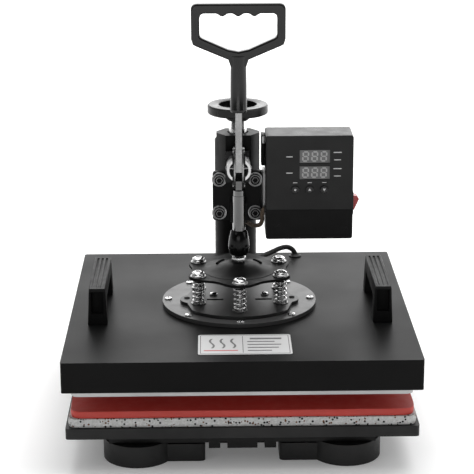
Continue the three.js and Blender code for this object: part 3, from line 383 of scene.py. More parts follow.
MAT = {
    "cover": cover_paint(),
    "paint": surface("black_gloss_paint", 0.005, 0.009, (0.3, 0.42), grain=1000, bump=0.1, specular=0.045),
    "satin": surface("black_satin_paint", 0.006, 0.01, (0.3, 0.44), specular=0.05),
    "frame": surface("frame_black_paint", 0.005, 0.009, (0.3, 0.45), specular=0.16),
    "lower": surface("lower_platen_black", 0.011, 0.02, (0.4, 0.55), specular=0.2),
    "box": surface("box_black_paint", 0.0015, 0.0028, (0.26, 0.36), grain=1800, bump=0.1, specular=0.1),
    "panel": surface("panel_overlay_black", 0.009, 0.012, (0.4, 0.5), grain=2600, bump=0.1, specular=0.22),
    "wheel": surface("wheel_black_paint", 0.006, 0.01, (0.2, 0.3), specular=0.2),
    "plastic": surface(
        "black_moulded_plastic", 0.004, 0.007, (0.14, 0.22), grain=2000, bump=0.05, specular=0.34
    ),
    "handle": surface(
        "black_handle_plastic", 0.006, 0.01, (0.34, 0.46), grain=2600, bump=0.2, specular=0.055
    ),
    "barrel": surface("barrel_gloss_black", 0.003, 0.005, (0.1, 0.18), bump=0.03, specular=0.12, coat=0.03),
    "rubber": surface("black_rubber", 0.013, 0.021, (0.42, 0.6), grain=2400, bump=0.3, specular=0.25),
    "dark": surface("shadowed_recess", 0.003, 0.006, (0.6, 0.8), specular=0.1, edge=0),
    "disc": surface("disc_grey_paint", 0.045, 0.06, (0.28, 0.38), specular=0.3),
    "chrome": surface("chrome_plate", 0.6, 0.72, (0.1, 0.2), 1.0, bump=0.03, edge=0.0004),
    "zinc": surface("zinc_plated_steel", 0.2, 0.32, (0.22, 0.36), 1.0, cloud=40, bump=0.1, edge=0.0005),
    "aluminium": surface("aluminium_cast", 0.32, 0.42, (0.32, 0.46), 1.0, bump=0.1, stretch=(0.05, 1, 1)),
    "bracket": surface("bracket_grey_steel", 0.2, 0.3, (0.35, 0.5), 0.9, bump=0.1),
    "slide": surface("slide_dark_steel", 0.03, 0.05, (0.35, 0.5), 0.4, bump=0.1),
    "glass": surface("display_window", 0.13, 0.15, (0.16, 0.24), bump=0.01, specular=0.4, edge=0),
    "segment": surface("display_unlit_segment", 0.34, 0.4, (0.25, 0.35), bump=0.02, edge=0),
    "white": surface("white_print", 0.6, 0.72, (0.4, 0.55), bump=0.04, edge=0),
    "label": surface("label_white", 0.52, 0.6, (0.35, 0.5), bump=0.04, edge=0),
    "ink": surface("label_grey_ink", 0.1, 0.17, (0.4, 0.5), bump=0.04, edge=0),
    "ink_red": surface("label_red_ink", (0.42, 0.05, 0.06), (0.5, 0.08, 0.08), (0.4, 0.5), bump=0.04, edge=0),
    "red": surface(
        "rocker_red_plastic", (0.34, 0.006, 0.008), (0.46, 0.012, 0.014), (0.18, 0.28), bump=0.04, specular=0.5
    ),
    "clamp": clamp_zinc(),
    "thread": threaded_steel(),
    "rod": plunger_steel(),
    "spring_plate": spring_plate_paint(),
    "sponge": sponge_foam(),
    "silicone": silicone_red_painted_glow(),
    "cable": braid("cable_black_sleeve", 0.004, 0.03, 6.0, 900.0),
    "braid": braid("lead_brown_braid", (0.02, 0.012, 0.008), (0.2, 0.15, 0.11), 5.0, 900.0),
    "board": circuit_green(),
    "wool": mineral_fibre(),
}

FEET = [f"foot_{end}_{side}" for end in ("front", "rear") for side in ("left", "right")]
FINISH = {
    "frame": ["base_frame"],
    "rubber": [*FEET, "cable_gland", "mains_gland"],
    "lower": ["lower_platen"],
    "paint": ["post", "swing_collar", "swing_arm", "head_housing"],
    "disc": ["mount_disc"],
    "satin": ["pressure_dome", "top_plate", "clamp_plate", "guide_block"],
    "plastic": ["swing_bush", "set_button", "up_button", "down_button"],
    "wheel": ["pressure_wheel"],
    "thread": ["pressure_screw"],
    "chrome": ["thrust_washer", "screw_collar"],
    "slide": ["carriage_slide"],
    "clamp": ["clamp_body"],
    "zinc": ["lever_pin", "lever_bar", "link_left", "link_right", "link_pin"],
    "bracket": ["box_bracket"],
    "box": ["control_box", "box_back_cover"],
    "panel": ["control_panel"],
    "glass": ["upper_display", "lower_display"],
    "board": ["circuit_board"],
    "red": ["rocker_switch"],
    "rod": ["plunger_rod"],
    "barrel": ["coupling_barrel"],
    "spring_plate": ["spring_plate"],
    "cover": ["platen_cover"],
    "aluminium": ["heater_plate"],
    "wool": ["insulation_slab"],
}

for key, names in FINISH.items():
    for node_name in names:
        mesh = NODES[node_name].data
        mesh.materials.clear()
        mesh.materials.append(MAT[key])


def rounding_nodes():
    """Joins the split vertices and shades round faces smoothly, with edges over 35 degrees kept sharp."""
    group = bpy.data.node_groups.new("round_shading", "GeometryNodeTree")
    new, link = group.nodes.new, group.links.new
    group.interface.new_socket("Geometry", in_out="INPUT", socket_type="NodeSocketGeometry")
    group.interface.new_socket("Geometry", in_out="OUTPUT", socket_type="NodeSocketGeometry")
    start = new("NodeGroupInput")
    end = new("NodeGroupOutput")
    merge = new("GeometryNodeMergeByDistance")
    merge.inputs["Distance"].default_value = 0.00001
    faces = new("GeometryNodeSetShadeSmooth")
    angle = new("GeometryNodeInputMeshEdgeAngle")
    wide = new("FunctionNodeCompare")
    wide.operation = "GREATER_THAN"
    wide.inputs[1].default_value = math.radians(35)
    edges = new("GeometryNodeSetShadeSmooth")
    edges.domain = "EDGE"
    edges.inputs["Shade Smooth"].default_value = False
    link(start.outputs[0], merge.inputs["Geometry"])
    link(merge.outputs["Geometry"], faces.inputs["Geometry"])
    link(faces.outputs["Geometry"], edges.inputs["Geometry"])
    link(angle.outputs["Unsigned Angle"], wide.inputs[0])
    link(wide.outputs["Result"], edges.inputs["Selection"])
    link(edges.outputs["Geometry"], end.inputs[0])
    return group


ROUNDING = rounding_nodes()
for node in NODES.values():
    normals = node.data.attributes.get("custom_normal")
    if normals:
        node.data.attributes.remove(normals)
    node.modifiers.new("round_shading", "NODES").node_group = ROUNDING

# ---- mesh helpers


class Shape:
    """Vertices, faces and each face's material number, gathered into one mesh."""

    def __init__(self):
        self.verts, self.faces, self.marks, self.uvs = [], [], [], []

    def add(self, part, mark=0, matrix=None):
        verts, faces = part[0], part[1]
        base = len(self.verts)
        self.verts += [matrix @ Vector(v) if matrix else Vector(v) for v in verts]
        self.faces += [[base + i for i in f] for f in faces]
        self.marks += [mark] * len(faces)
        self.uvs += part[2] if len(part) > 2 else [[(0, 0)] * len(f) for f in faces]
        return self

    def gather(self, pairs, matrix):
        """Adds (part, material number) pairs."""
        for part, mark in pairs:
            self.add(part, mark, matrix)


def new_object(name, data):
    """An object in the scene, holding the mesh, curve, light or camera."""
    obj = bpy.data.objects.new(name, data)
    bpy.context.scene.collection.objects.link(obj)
    return obj


def make(name, shape, materials, body, angle=35):
    mesh = bpy.data.meshes.new(name)
    mesh.from_pydata(shape.verts, [], shape.faces)
    uv = mesh.uv_layers.new(name="along")
    loops = [pair for face in shape.uvs for pair in face]
    uv.data.foreach_set("uv", [x for pair in loops for x in pair])
    for material in materials:
        mesh.materials.append(MAT[material])
    mesh.polygons.foreach_set("material_index", shape.marks)
    mesh.shade_smooth()
    mesh.set_sharp_from_angle(angle=math.radians(angle))
    mesh.update()
    obj = new_object(name, mesh)
    if body:
        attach(obj, body)
    return obj


def move(x, y, z, turn=None):
    matrix = Matrix.Translation((x, y, z))
    return matrix @ turn if turn else matrix


# Turns for a shape drawn facing up. "side" lays its X along Y and its Y up Z, facing +X.
FACING = {
    "side": Matrix(((0, 0, 1, 0), (1, 0, 0, 0), (0, 1, 0, 0), (0, 0, 0, 1))),
    "front": Matrix.Rotation(math.pi / 2, 4, "X"),
    "back": Matrix.Rotation(-math.pi / 2, 4, "X"),
    "left": Matrix.Rotation(-math.pi / 2, 4, "Y"),
}


def circle(radius, height, sides):
    angles = [2 * math.pi * k / sides for k in range(sides)]
    return [(radius * math.cos(a), radius * math.sin(a), height) for a in angles]


def band(low, high, sides):
    """The faces between two rings of points, the rings given by their numbers."""
    pairs = [(k, (k + 1) % sides) for k in range(sides)]
    return [[low * sides + k, low * sides + j, high * sides + j, high * sides + k] for k, j in pairs]


def turned(profile, sides=32):
    """A closed solid turned about Z from (radius, height) pairs that start and end on the axis."""
    verts, faces = [], []
    rows = []
    for radius, height in profile:
        if radius < 1e-9:
            rows.append([len(verts)])
            verts.append((0, 0, height))
        else:
            rows.append(list(range(len(verts), len(verts) + sides)))
            verts += circle(radius, height, sides)
    for low, high in zip(rows, rows[1:]):
        for k in range(sides):
            j = (k + 1) % sides
            ring = [low[k % len(low)], low[j % len(low)], high[j % len(high)], high[k % len(high)]]
            face = [v for i, v in enumerate(ring) if v not in ring[:i]]
            if len(face) > 2:
                faces.append(face)
    return verts, faces


def turned_ring(profile, sides=32):
    """A closed ring turned about Z from a loop of (radius, height) pairs."""
    verts, faces = [], []
    count = len(profile)
    for radius, height in profile:
        verts += circle(radius, height, sides)
    for i in range(count):
        faces += band(i, (i + 1) % count, sides)
    return verts, faces


def soft_box(x0, x1, y0, y1, z0, z1, edge):
    """A block with rounded edges."""
    bm = bmesh.new()
    bmesh.ops.create_cube(bm, size=1)
    for v in bm.verts:
        x, y, z = (c + 0.5 for c in v.co)
        v.co = (x0 + x * (x1 - x0), y0 + y * (y1 - y0), z0 + z * (z1 - z0))
    bmesh.ops.bevel(bm, geom=bm.edges[:], offset=edge, segments=2, affect="EDGES", profile=0.5)
    bm.verts.index_update()
    out = [v.co.copy() for v in bm.verts], [[v.index for v in f.verts] for f in bm.faces]
    bm.free()
    return out


def flat(points, height):
    """A thin solid over a convex outline in X and Y."""
    n = len(points)
    verts = [(x, y, 0) for x, y in points] + [(x, y, height) for x, y in points]
    faces = [list(range(n))[::-1], list(range(n, 2 * n))]
    faces += [[i, (i + 1) % n, n + (i + 1) % n, n + i] for i in range(n)]
    return verts, faces


def finished_mesh(obj):
    """A new mesh of the object as its curve settings or modifiers leave it."""
    bpy.context.view_layer.update()
    graph = bpy.context.evaluated_depsgraph_get()
    return bpy.data.meshes.new_from_object(obj.evaluated_get(graph), depsgraph=graph)


def slab(loops, depth, edge, steps=2):
    """A plate over outlines in X and Y, holes included, with rounded edges, centred on Z 0."""
    curve = bpy.data.curves.new("outline", "CURVE")
    curve.dimensions = "2D"
    curve.fill_mode = "BOTH"
    for points in loops:
        spline = curve.splines.new("POLY")
        spline.points.add(len(points) - 1)
        for point, (x, y) in zip(spline.points, points):
            point.co = (x, y, 0, 1)
        spline.use_cyclic_u = True
    curve.extrude = depth / 2 - edge
    curve.bevel_depth = edge
    curve.bevel_resolution = steps
    curve.offset = -edge
    holder = new_object("outline", curve)
    mesh = finished_mesh(holder)
    out = [v.co.copy() for v in mesh.vertices], [list(p.vertices) for p in mesh.polygons]
    bpy.data.objects.remove(holder)
    bpy.data.meshes.remove(mesh)
    bpy.data.curves.remove(curve)
    return out


def arc(cx, cy, radius, start, end, steps=6):
    angles = [start + (end - start) * i / steps for i in range(steps + 1)]
    return [(cx + radius * math.cos(a), cy + radius * math.sin(a)) for a in angles]


def hexagon(radius, turn=0.0):
    angles = [k * math.pi / 3 + turn for k in range(6)]
    return [(radius * math.cos(a), radius * math.sin(a)) for a in angles]


def rounded(x0, x1, y0, y1, r, steps=4):
    q = math.pi / 2
    points = arc(x1 - r, y0 + r, r, -q, 0, steps) + arc(x1 - r, y1 - r, r, 0, q, steps)
    return points + arc(x0 + r, y1 - r, r, q, 2 * q, steps) + arc(x0 + r, y0 + r, r, 2 * q, 3 * q, steps)


def tube(path, radius, sides=12):
    """A round tube along a path, its ends closed, with UV u along it in metres and v round it."""
    verts, faces, uvs = [], [], []
    tangent = (path[1] - path[0]).normalized()
    side = tangent.orthogonal().normalized()
    run = 0.0
    runs = []
    for i, point in enumerate(path):
        ahead = path[min(i + 1, len(path) - 1)] - path[max(i - 1, 0)]
        new = ahead.normalized()
        side = (side - new * side.dot(new)).normalized()
        up = new.cross(side)
        for k in range(sides):
            a = 2 * math.pi * k / sides
            verts.append(point + (side * math.cos(a) + up * math.sin(a)) * radius)
        if i:
            run += (point - path[i - 1]).length
        runs.append(run)
    for i in range(len(path) - 1):
        faces += band(i, i + 1, sides)
        for k in range(sides):
            v0, v1 = k / sides, (k + 1) / sides
            uvs.append([(runs[i], v0), (runs[i], v1), (runs[i + 1], v1), (runs[i + 1], v0)])
    last = (len(path) - 1) * sides
    faces += [list(range(sides))[::-1], list(range(last, last + sides))]
    uvs += [[(0, 0)] * sides, [(run, 0)] * sides]
    return (verts, faces, uvs), run


def smooth_path(points, steps=8):
    """A centripetal spline through the points."""
    ends = [points[0] * 2 - points[1], *points, points[-1] * 2 - points[-2]]
    out = [points[0]]
    for p0, p1, p2, p3 in zip(ends, ends[1:], ends[2:], ends[3:]):
        t0 = 0.0
        t1 = t0 + (p1 - p0).length ** 0.5
        t2 = t1 + (p2 - p1).length ** 0.5
        t3 = t2 + (p3 - p2).length ** 0.5
        for i in range(1, steps + 1):
            t = t1 + (t2 - t1) * i / steps
            a1 = p0 * ((t1 - t) / (t1 - t0)) + p1 * ((t - t0) / (t1 - t0))
            a2 = p1 * ((t2 - t) / (t2 - t1)) + p2 * ((t - t1) / (t2 - t1))
            a3 = p2 * ((t3 - t) / (t3 - t2)) + p3 * ((t - t2) / (t3 - t2))
            b1 = a1 * ((t2 - t) / (t2 - t0)) + a2 * ((t - t0) / (t2 - t0))
            b2 = a2 * ((t3 - t) / (t3 - t1)) + a3 * ((t - t1) / (t3 - t1))
            out.append(b1 * ((t2 - t) / (t2 - t1)) + b2 * ((t - t1) / (t2 - t1)))
    return out


def carve(obj, cutter_shape):
    """Takes the cutter away from obj's mesh."""
    mesh = bpy.data.meshes.new("cutter")
    mesh.from_pydata(cutter_shape.verts, [], cutter_shape.faces)
    cutter = new_object("cutter", mesh)
    modifier = obj.modifiers.new("carve", "BOOLEAN")
    modifier.object = cutter
    modifier.operation = "DIFFERENCE"
    modifier.solver = "EXACT"
    made = finished_mesh(obj)
    obj.modifiers.clear()
    obj.data = made
    bpy.data.objects.remove(cutter)
    obj.data.set_sharp_from_angle(angle=math.radians(35))


def screw_head(radius, height):
    """A pan head with a cross recess, standing on Z 0, as (part, material number) pairs."""
    dome = [(0, 0), (radius, 0), (radius, height * 0.45), (radius * 0.86, height * 0.8)]
    dome += [(radius * 0.5, height), (0, height)]
    # Painted shade: the cross recess is two dark bars rising just through the head's top, not a cut.
    slot, reach, top = radius * 0.13, radius * 0.62, height * 1.01
    bars = [
        soft_box(-reach, reach, -slot, slot, height * 0.7, top, slot * 0.4),
        soft_box(-slot, slot, -reach, reach, height * 0.7, top, slot * 0.4),
    ]
    return [(turned(dome, 24), 0), *[(bar, 1) for bar in bars]]


def socket_head(radius, height):
    """A button head with a hexagon socket, standing on Z 0, as (part, material number) pairs."""
    dome = [(0, 0), (radius, 0), (radius, height * 0.3), (radius * 0.9, height * 0.7), (radius * 0.6, height)]
    dome += [(radius * 0.42, height), (radius * 0.38, height * 0.5), (0, height * 0.5)]
    # Painted shade: a dark hexagon fills the floor of the socket.
    return [(turned(dome, 28), 0), (flat(hexagon(radius * 0.37), height * 0.53), 1)]


# ---- springs, bolts and the mount disc

BOLT_CIRCLE = 0.0565
DISC_SCREW_CIRCLE = 0.0855
SPRING_WIRE = 0.0013
BOLTS = [
    (BOLT_CIRCLE * math.cos(a), MID_Y + BOLT_CIRCLE * math.sin(a))
    for a in (-math.pi / 2 + k * math.pi / 3 for k in range(6))
]


def spring_path(x, y, wire=SPRING_WIRE, coil=0.0063, turns=5.5, steps=22):
    """A compression spring's centreline, with its end coils closed."""
    low, high = SPRING_LOW + wire, SPRING_HIGH - wire
    points = []
    total = int(turns * steps)
    for i in range(total + 1):
        t = i / total * turns
        end = 0.9
        if t < end:
            z = 1.9 * wire * (t / end)
        elif t > turns - end:
            z = (high - low) - 1.9 * wire * ((turns - t) / end)
        else:
            z = 1.9 * wire + (high - low - 3.8 * wire) * (t - end) / (turns - 2 * end)
        a = 2 * math.pi * t
        points.append(Vector((x + coil * math.cos(a), y + coil * math.sin(a), low + z)))
    return points


def add_springs():
    for index, (x, y) in enumerate(BOLTS):
        part, _ = tube(spring_path(x, y), SPRING_WIRE, 8)
        name = f"spring_wire_{index + 1}"
        coil = make(name, Shape().add(part), ["chrome"], "platen", 60)
        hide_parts(f"spring_{index + 1}")
        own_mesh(coil)


def add_bolts():
    heads, washers = Shape(), Shape()
    for x, y in BOLTS:
        heads.gather(socket_head(0.0077, 0.0052), move(x, y, TOP_PLATE_HIGH + 0.0012))
        ring = [(0.0043, 0), (0.0092, 0), (0.0095, 0.0004), (0.0092, 0.0011), (0.0043, 0.0011)]
        washers.add(turned_ring(ring, 28), 0, move(x, y, TOP_PLATE_HIGH + 0.0001))
        seat = [(0.0043, 0), (0.0088, 0), (0.0088, 0.0008), (0.0043, 0.0008)]
        washers.add(turned_ring(seat, 24), 0, move(x, y, SPRING_LOW - 0.00045))
    make("bolt_heads", heads, ["chrome", "dark"], "platen")
    make("bolt_washers", washers, ["zinc"], "platen")


def add_disc_details():
    screws = Shape()
    for k in range(8):
        a = -math.pi / 2 + k * math.pi / 4
        spin = Matrix.Rotation(0.4 + k * 0.7, 4, "Z")
        x, y = DISC_SCREW_CIRCLE * math.cos(a), MID_Y + DISC_SCREW_CIRCLE * math.sin(a)
        screws.gather(screw_head(0.0046, 0.0022), move(x, y, DISC_TOP, spin))
    make("disc_screws", screws, ["chrome", "dark"], "platen")
    plate_top = SPRING_LOW - 0.0003
    inner = Shape()
    for side in (-1, 1):
        spin = Matrix.Rotation(0.5 * side, 4, "Z")
        inner.gather(screw_head(0.0047, 0.0024), move(side * 0.031, MID_Y + 0.002, plate_top, spin))
        # Painted shade: a thin dark disc stands for an empty screw hole.
        hole = turned([(0, 0), (0.0035, 0), (0.0035, 0.0002), (0, 0.0002)], 24)
        inner.add(hole, 1, move(side * 0.063, MID_Y - 0.0095, plate_top))
    make("plate_screws", inner, ["chrome", "dark"], "platen")


def add_plunger_details():
    """The tapered coupling barrel and the lock nut on the stud below it."""
    low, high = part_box("coupling_barrel")
    tall = high.z - low.z
    y = (low.y + high.y) / 2
    outline = [(0.0078, 0), (0.0092, 0), (0.0104, 0.02), (0.0116, 0.1), (0.0124, 0.22), (0.0127, 0.36)]
    outline += [(0.0125, 0.5), (0.0118, 0.68), (0.0107, 0.86), (0.0098, 0.97), (0.0092, 1.0), (0.0078, 1.0)]
    profile = [(radius, low.z + tall * share) for radius, share in outline]
    shape = Shape().add(turned_ring(profile, 56), 0, move(0, y, 0))
    barrel = make("barrel_turning", shape, ["barrel"], "plunger", 50)
    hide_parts("coupling_barrel")
    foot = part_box("plunger_rod")[0].z
    nut = Shape()
    nut.add(slab([hexagon(0.0088, 0.3)], 0.0062, 0.0007, 2), 0, move(0, y, foot + 0.0036))
    make("plunger_lock_nut", nut, ["chrome"], "plunger")


def add_dome():
    """The cap swells smoothly out of the top plate."""
    profile = [(0, DOME_HIGH.z), (0.0095, DOME_HIGH.z)]
    foot, spread = TOP_PLATE_HIGH + 0.0001, 0.0445
    for k in range(1, 13):
        t = k / 12
        drop = 0.5 - 0.5 * math.cos(math.pi * t ** 0.9)
        profile.append((0.0095 + (spread - 0.0095) * t, DOME_HIGH.z - (DOME_HIGH.z - foot - 0.0002) * drop))
    profile += [(spread, foot), (0, foot)]
    shape = Shape().add(turned(profile[::-1], 64), 0, move(0, MID_Y, 0))
    cap = make("dome_pressing", shape, ["satin"], "plunger", 60)
    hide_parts("pressure_dome")


def add_dome_slots():
    """Two curved vent slots in the domed cap, drawn as dark tubes: painted shade for the slots' insides."""
    slots = Shape()
    for side in (-1, 1):
        middle = math.radians(90 - side * 58)
        points = []
        for k in range(11):
            a = middle + math.radians(-17 + 3.4 * k)
            points.append(Vector((0.0275 * math.cos(a), MID_Y + 0.0275 * math.sin(a), DOME_LOW.z + 0.0042)))
        part, _ = tube(points, 0.0016, 8)
        slots.add(part)
    make("dome_slots", slots, ["dark"], "plunger")


# ---- pads


def pad(name, side, corner, low, high, bulge, wobble, finish, seed):
    """A soft slab whose sides bulge and ripple a little."""
    rng = random.Random(seed)
    waves = [(rng.uniform(0, 6.28), rng.randint(3, 40), rng.uniform(0.3, 1.0)) for _ in range(14)]
    outline = []
    half = side / 2
    corners = [(half - corner, -half + corner, -90), (half - corner, half - corner, 0)]
    corners += [(-half + corner, half - corner, 90), (-half + corner, -half + corner, 180)]
    for index, (cx, cy, start) in enumerate(corners):
        nx, ny, _ = corners[(index + 1) % 4]
        for k in range(9):
            a = math.radians(start + k * 90 / 8)
            outline.append((cx + corner * math.cos(a), cy + corner * math.sin(a), math.cos(a), math.sin(a)))
        a = math.radians(start + 90)
        for k in range(1, 48):
            t = k / 48
            x = cx + (nx - cx) * t + corner * math.cos(a)
            y = cy + (ny - cy) * t + corner * math.sin(a)
            outline.append((x, y, math.cos(a), math.sin(a)))
    count = len(outline)
    rows = [(0, -0.25), (0.06, -0.02), (0.2, 0.35), (0.5, 1.0), (0.8, 0.4), (0.94, 0.0), (1, -0.25)]
    verts, faces = [], []
    for level, out in rows:
        for k, (x, y, ox, oy) in enumerate(outline):
            s = 2 * math.pi * k / count
            ripple = sum(w * math.sin(f * s + p + 1.3 * level) for p, f, w in waves) / 9
            push = bulge * out + wobble * (ripple - 0.6)
            verts.append((x + ox * push, MID_Y + y + oy * push, low + (high - low) * level))
    for r in range(len(rows) - 1):
        faces += band(r, r + 1, count)
    faces.append(list(range(count))[::-1])
    faces.append([(len(rows) - 1) * count + k for k in range(count)])
    obj = make(name, Shape().add((verts, faces)), [finish], "base", 60)
    return obj


def add_pads():
    low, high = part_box("sponge_pad")
    side = high.x - low.x - 0.002
    sponge = pad("sponge_foam", side, 0.01, low.z, high.z, 0.0006, 0.0005, "sponge", 3)
    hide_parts("sponge_pad")
    low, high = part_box("silicone_pad")
    side = high.x - low.x - 0.001
    sheet = pad("silicone_sheet", side, 0.014, low.z, high.z, 0.0004, 0.0012, "silicone", 8)
    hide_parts("silicone_pad")


# ---- cables


INSIDE_SLIDE = 0.0115  # height above the slide's foot at which the heater lead starts
LEAD_RADIUS = 0.0032
BRAID_RADIUS = 0.0026
PARTING = 60  # the point of the heater lead's path where its two pieces meet


def add_heater_lead():
    """Two pieces: the upper one runs between carriage and plunger, the lower between plunger and platen."""
    gx, gy, _ = centre(*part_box("cable_gland"))
    back = gy - HEAD_Y
    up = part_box("carriage_slide")[0].z + INSIDE_SLIDE - COVER_TOP
    route = [(0, 0, up), (0, 0, 0.84 * up), (0, 0.03, 0.69 * up), (0.013, 0.107, 0.53 * up)]
    route += [(0.039, 0.228, 0.36 * up), (0.09, 0.38, 0.22 * up), (0.17, 0.548, 0.013)]
    route += [(0.3, 0.708, 0.008), (0.455, 0.83, 0.008)]
    route += [(0.623, 0.921, 0.01), (0.766, 0.974, 0.0125), (0.877, 0.996, 0.0125), (1 - 0.039, 1, 0.0085)]
    route += [(1, 1, 0.003), (1, 1, -0.0006)]
    path = smooth_path([Vector((u * gx, HEAD_Y + v * back, COVER_TOP + z)) for u, v, z in route])
    first, second = path[: PARTING + 1], path[PARTING:]
    part, length = tube(first, LEAD_RADIUS, 16)
    cable = make("heater_lead", Shape().add(part), ["cable"], None, 60)
    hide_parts("heater_cable")
    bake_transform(cable)
    part, length = tube(second, LEAD_RADIUS, 16)
    cable = make("heater_lead_end", Shape().add(part), ["cable"], None, 60)
    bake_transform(cable)


def add_supply_lead():
    start = BOX_LOW.x / MM - 0.3
    head = (HEAD_Y - MID_Y) / MM
    level = PIVOT_Z - LEVER_ABOVE_DATUM
    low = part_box("carriage_slide")[0].z - 0.0003
    points = [(start - 0.5, 3, 116), (start - 2, 3, 115.8), (start - 3.6, 4, 110), (start - 3.8, 7, 101)]
    points += [(start - 6, 13, 94), (start - 12, 22, 90), (start - 18, 32, 89), (start - 22, head - 12, 91)]
    points += [(start - 23, head - 9, 96)]
    line = [at(x, y, level + z * MM) for x, y, z in points] + [at(start - 23, head - 9, low)]
    path = smooth_path(line)
    part, length = tube(path, BRAID_RADIUS, 14)
    lead = make("supply_lead_braid", Shape().add(part), ["braid"], "carriage", 60)
    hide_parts("braided_lead")


# ---- grip and carrying handles


GRIP_Y = -0.049
GRIP_HEIGHT = 0.065


def grip_loops():
    """The D-shaped grip's outer outline and its opening, with three finger bumps along the bar."""
    half, shoulder, height, corner, bar, throat, rise = 0.0545, 0.017, GRIP_HEIGHT, 0.007, 0.01, 0.012, 0.012
    q = math.pi / 2
    outer = [(-throat, 0), (throat, 0), (half - corner, shoulder - 0.002)]
    outer += [(half - 0.002, shoulder + 0.0005), (half, shoulder + corner)]
    outer += arc(half - corner, height - corner, corner, 0, q)
    outer += arc(-half + corner, height - corner, corner, q, 2 * q)
    outer += [(-half, shoulder + corner), (-half + 0.002, shoulder + 0.0005)]
    outer += [(-half + corner, shoulder - 0.002)]
    inner = half - bar
    low, high = rise, height - bar - 0.0005
    right = [(0, low - 0.0025), (throat, low), (inner - 0.003, low + shoulder - 0.004)]
    right += [(inner - 0.0006, low + shoulder - 0.0022), (inner, low + shoulder), (inner, high - 0.006)]
    right += [(inner - 0.0012, high - 0.0026), (inner - 0.004, high - 0.001)]
    bumps = []
    steps = 66
    for k in range(1, steps):
        x = (inner - 0.004) * (1 - 2 * k / steps)
        drop = 0.001
        for middle in (-0.0185, 0.0, 0.0185):
            reach = abs(x - middle) / 0.0075
            if reach < 1:
                drop += 0.0034 * (0.5 + 0.5 * math.cos(math.pi * reach))
        bumps.append((x, high - drop))
    left = [(-x, z) for x, z in right[1:]][::-1]
    return [outer, right + bumps + left]


def add_grip():
    low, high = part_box("handle_grip")
    y = (low.y + high.y) / 2
    shape = Shape()
    stand = move(0, GRIP_Y, high.z - GRIP_HEIGHT, FACING["front"])
    shape.add(slab(grip_loops(), 0.013, 0.0022, 3), 0, stand)
    stem_low, stem_high = low.z, high.z - GRIP_HEIGHT + 0.004
    profile = [(0, 0), (0.0094, 0), (0.01, 0.0008), (0.01, 0.0035), (0.0097, 0.0045)]
    reach = stem_high - stem_low
    profile += [(0.0096, reach * 0.5), (0.0092, reach - 0.006), (0.0098, reach - 0.002)]
    profile += [(0.0098, reach), (0, reach)]
    shape.add(turned(profile, 40), 0, move(0, y, stem_low))
    taper = [(-0.0092, 0), (0.0092, 0), (0.0122, 0.009), (0.012, 0.014), (-0.012, 0.014), (-0.0122, 0.009)]
    wedge = slab([taper], 0.0126, 0.0018)
    shape.add(wedge, 0, move(0, GRIP_Y, high.z - GRIP_HEIGHT - 0.008, FACING["front"]))
    grip = make("grip_moulding", shape, ["plastic"], "handle", 40)
    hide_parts("handle_grip")


def add_side_handles():
    """Each handle narrows upwards, with three grooves along its top and a pocket in its front leg."""
    for node in ("side_handle_left", "side_handle_right"):
        low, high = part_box(node)
        x, front, back = (low.x + high.x) / 2, low.y, high.y
        z0, z1 = low.z, high.z
        leg, c, rise = 0.02, 0.0025, 0.027
        outline = [(front, z0), (front + leg, z0), (front + leg, z0 + rise - c), (front + leg + c, z0 + rise)]
        outline += [(back - leg - c, z0 + rise), (back - leg, z0 + rise - c), (back - leg, z0), (back, z0)]
        outline += [(back, z1 - c), (back - c, z1), (front + c, z1), (front, z1 - c)]
        part = slab([[(y - front, z - z0) for y, z in outline]], 0.023, 0.0012)
        verts = []
        for v in part[0]:
            p = FACING["side"] @ Vector(v)
            draft = 1 - 0.174 * max(0.0, p.z) / (z1 - z0)
            verts.append((x + p.x * draft, front + p.y, z0 + p.z))
        shape = Shape().add((verts, part[1]))
        handle = make(f"{node}_moulding", shape, ["handle"], "platen")
        cutters = Shape()
        y0, y1 = front - 0.004, front + 0.0045
        cutters.add(soft_box(x - 0.0074, x + 0.0074, y0, y1, z1 - 0.03, z1 - 0.0035, 0.0012))
        for k in (-1, 0, 1):
            gx = x + k * 0.0052
            y0, y1 = front + 0.007, back - 0.007
            cutters.add(soft_box(gx - 0.0012, gx + 0.0012, y0, y1, z1 - 0.0012, z1 + 0.003, 0.0004))
        carve(handle, cutters)
        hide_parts(node)
        # Painted shade: a thin dark sheet set at the back of each pocket.
        y0, y1 = front + 0.0036, front + 0.0046
        pocket_shade_sheet = soft_box(x - 0.007, x + 0.007, y0, y1, z1 - 0.0296, z1 - 0.0039, 0.0003)
        make(f"{node}_pocket", Shape().add(pocket_shade_sheet), ["dark"], "platen")


# ---- control box

PRINT = 0.00012  # thickness of printed marks
# The seven bars of a digit: place across, place up, and whether the bar lies flat.
SEGMENTS = [(0, 1, 1), (0, 0, 1), (0, -1, 1), (-1, 0.5, 0), (1, 0.5, 0), (-1, -0.5, 0), (1, -0.5, 0)]


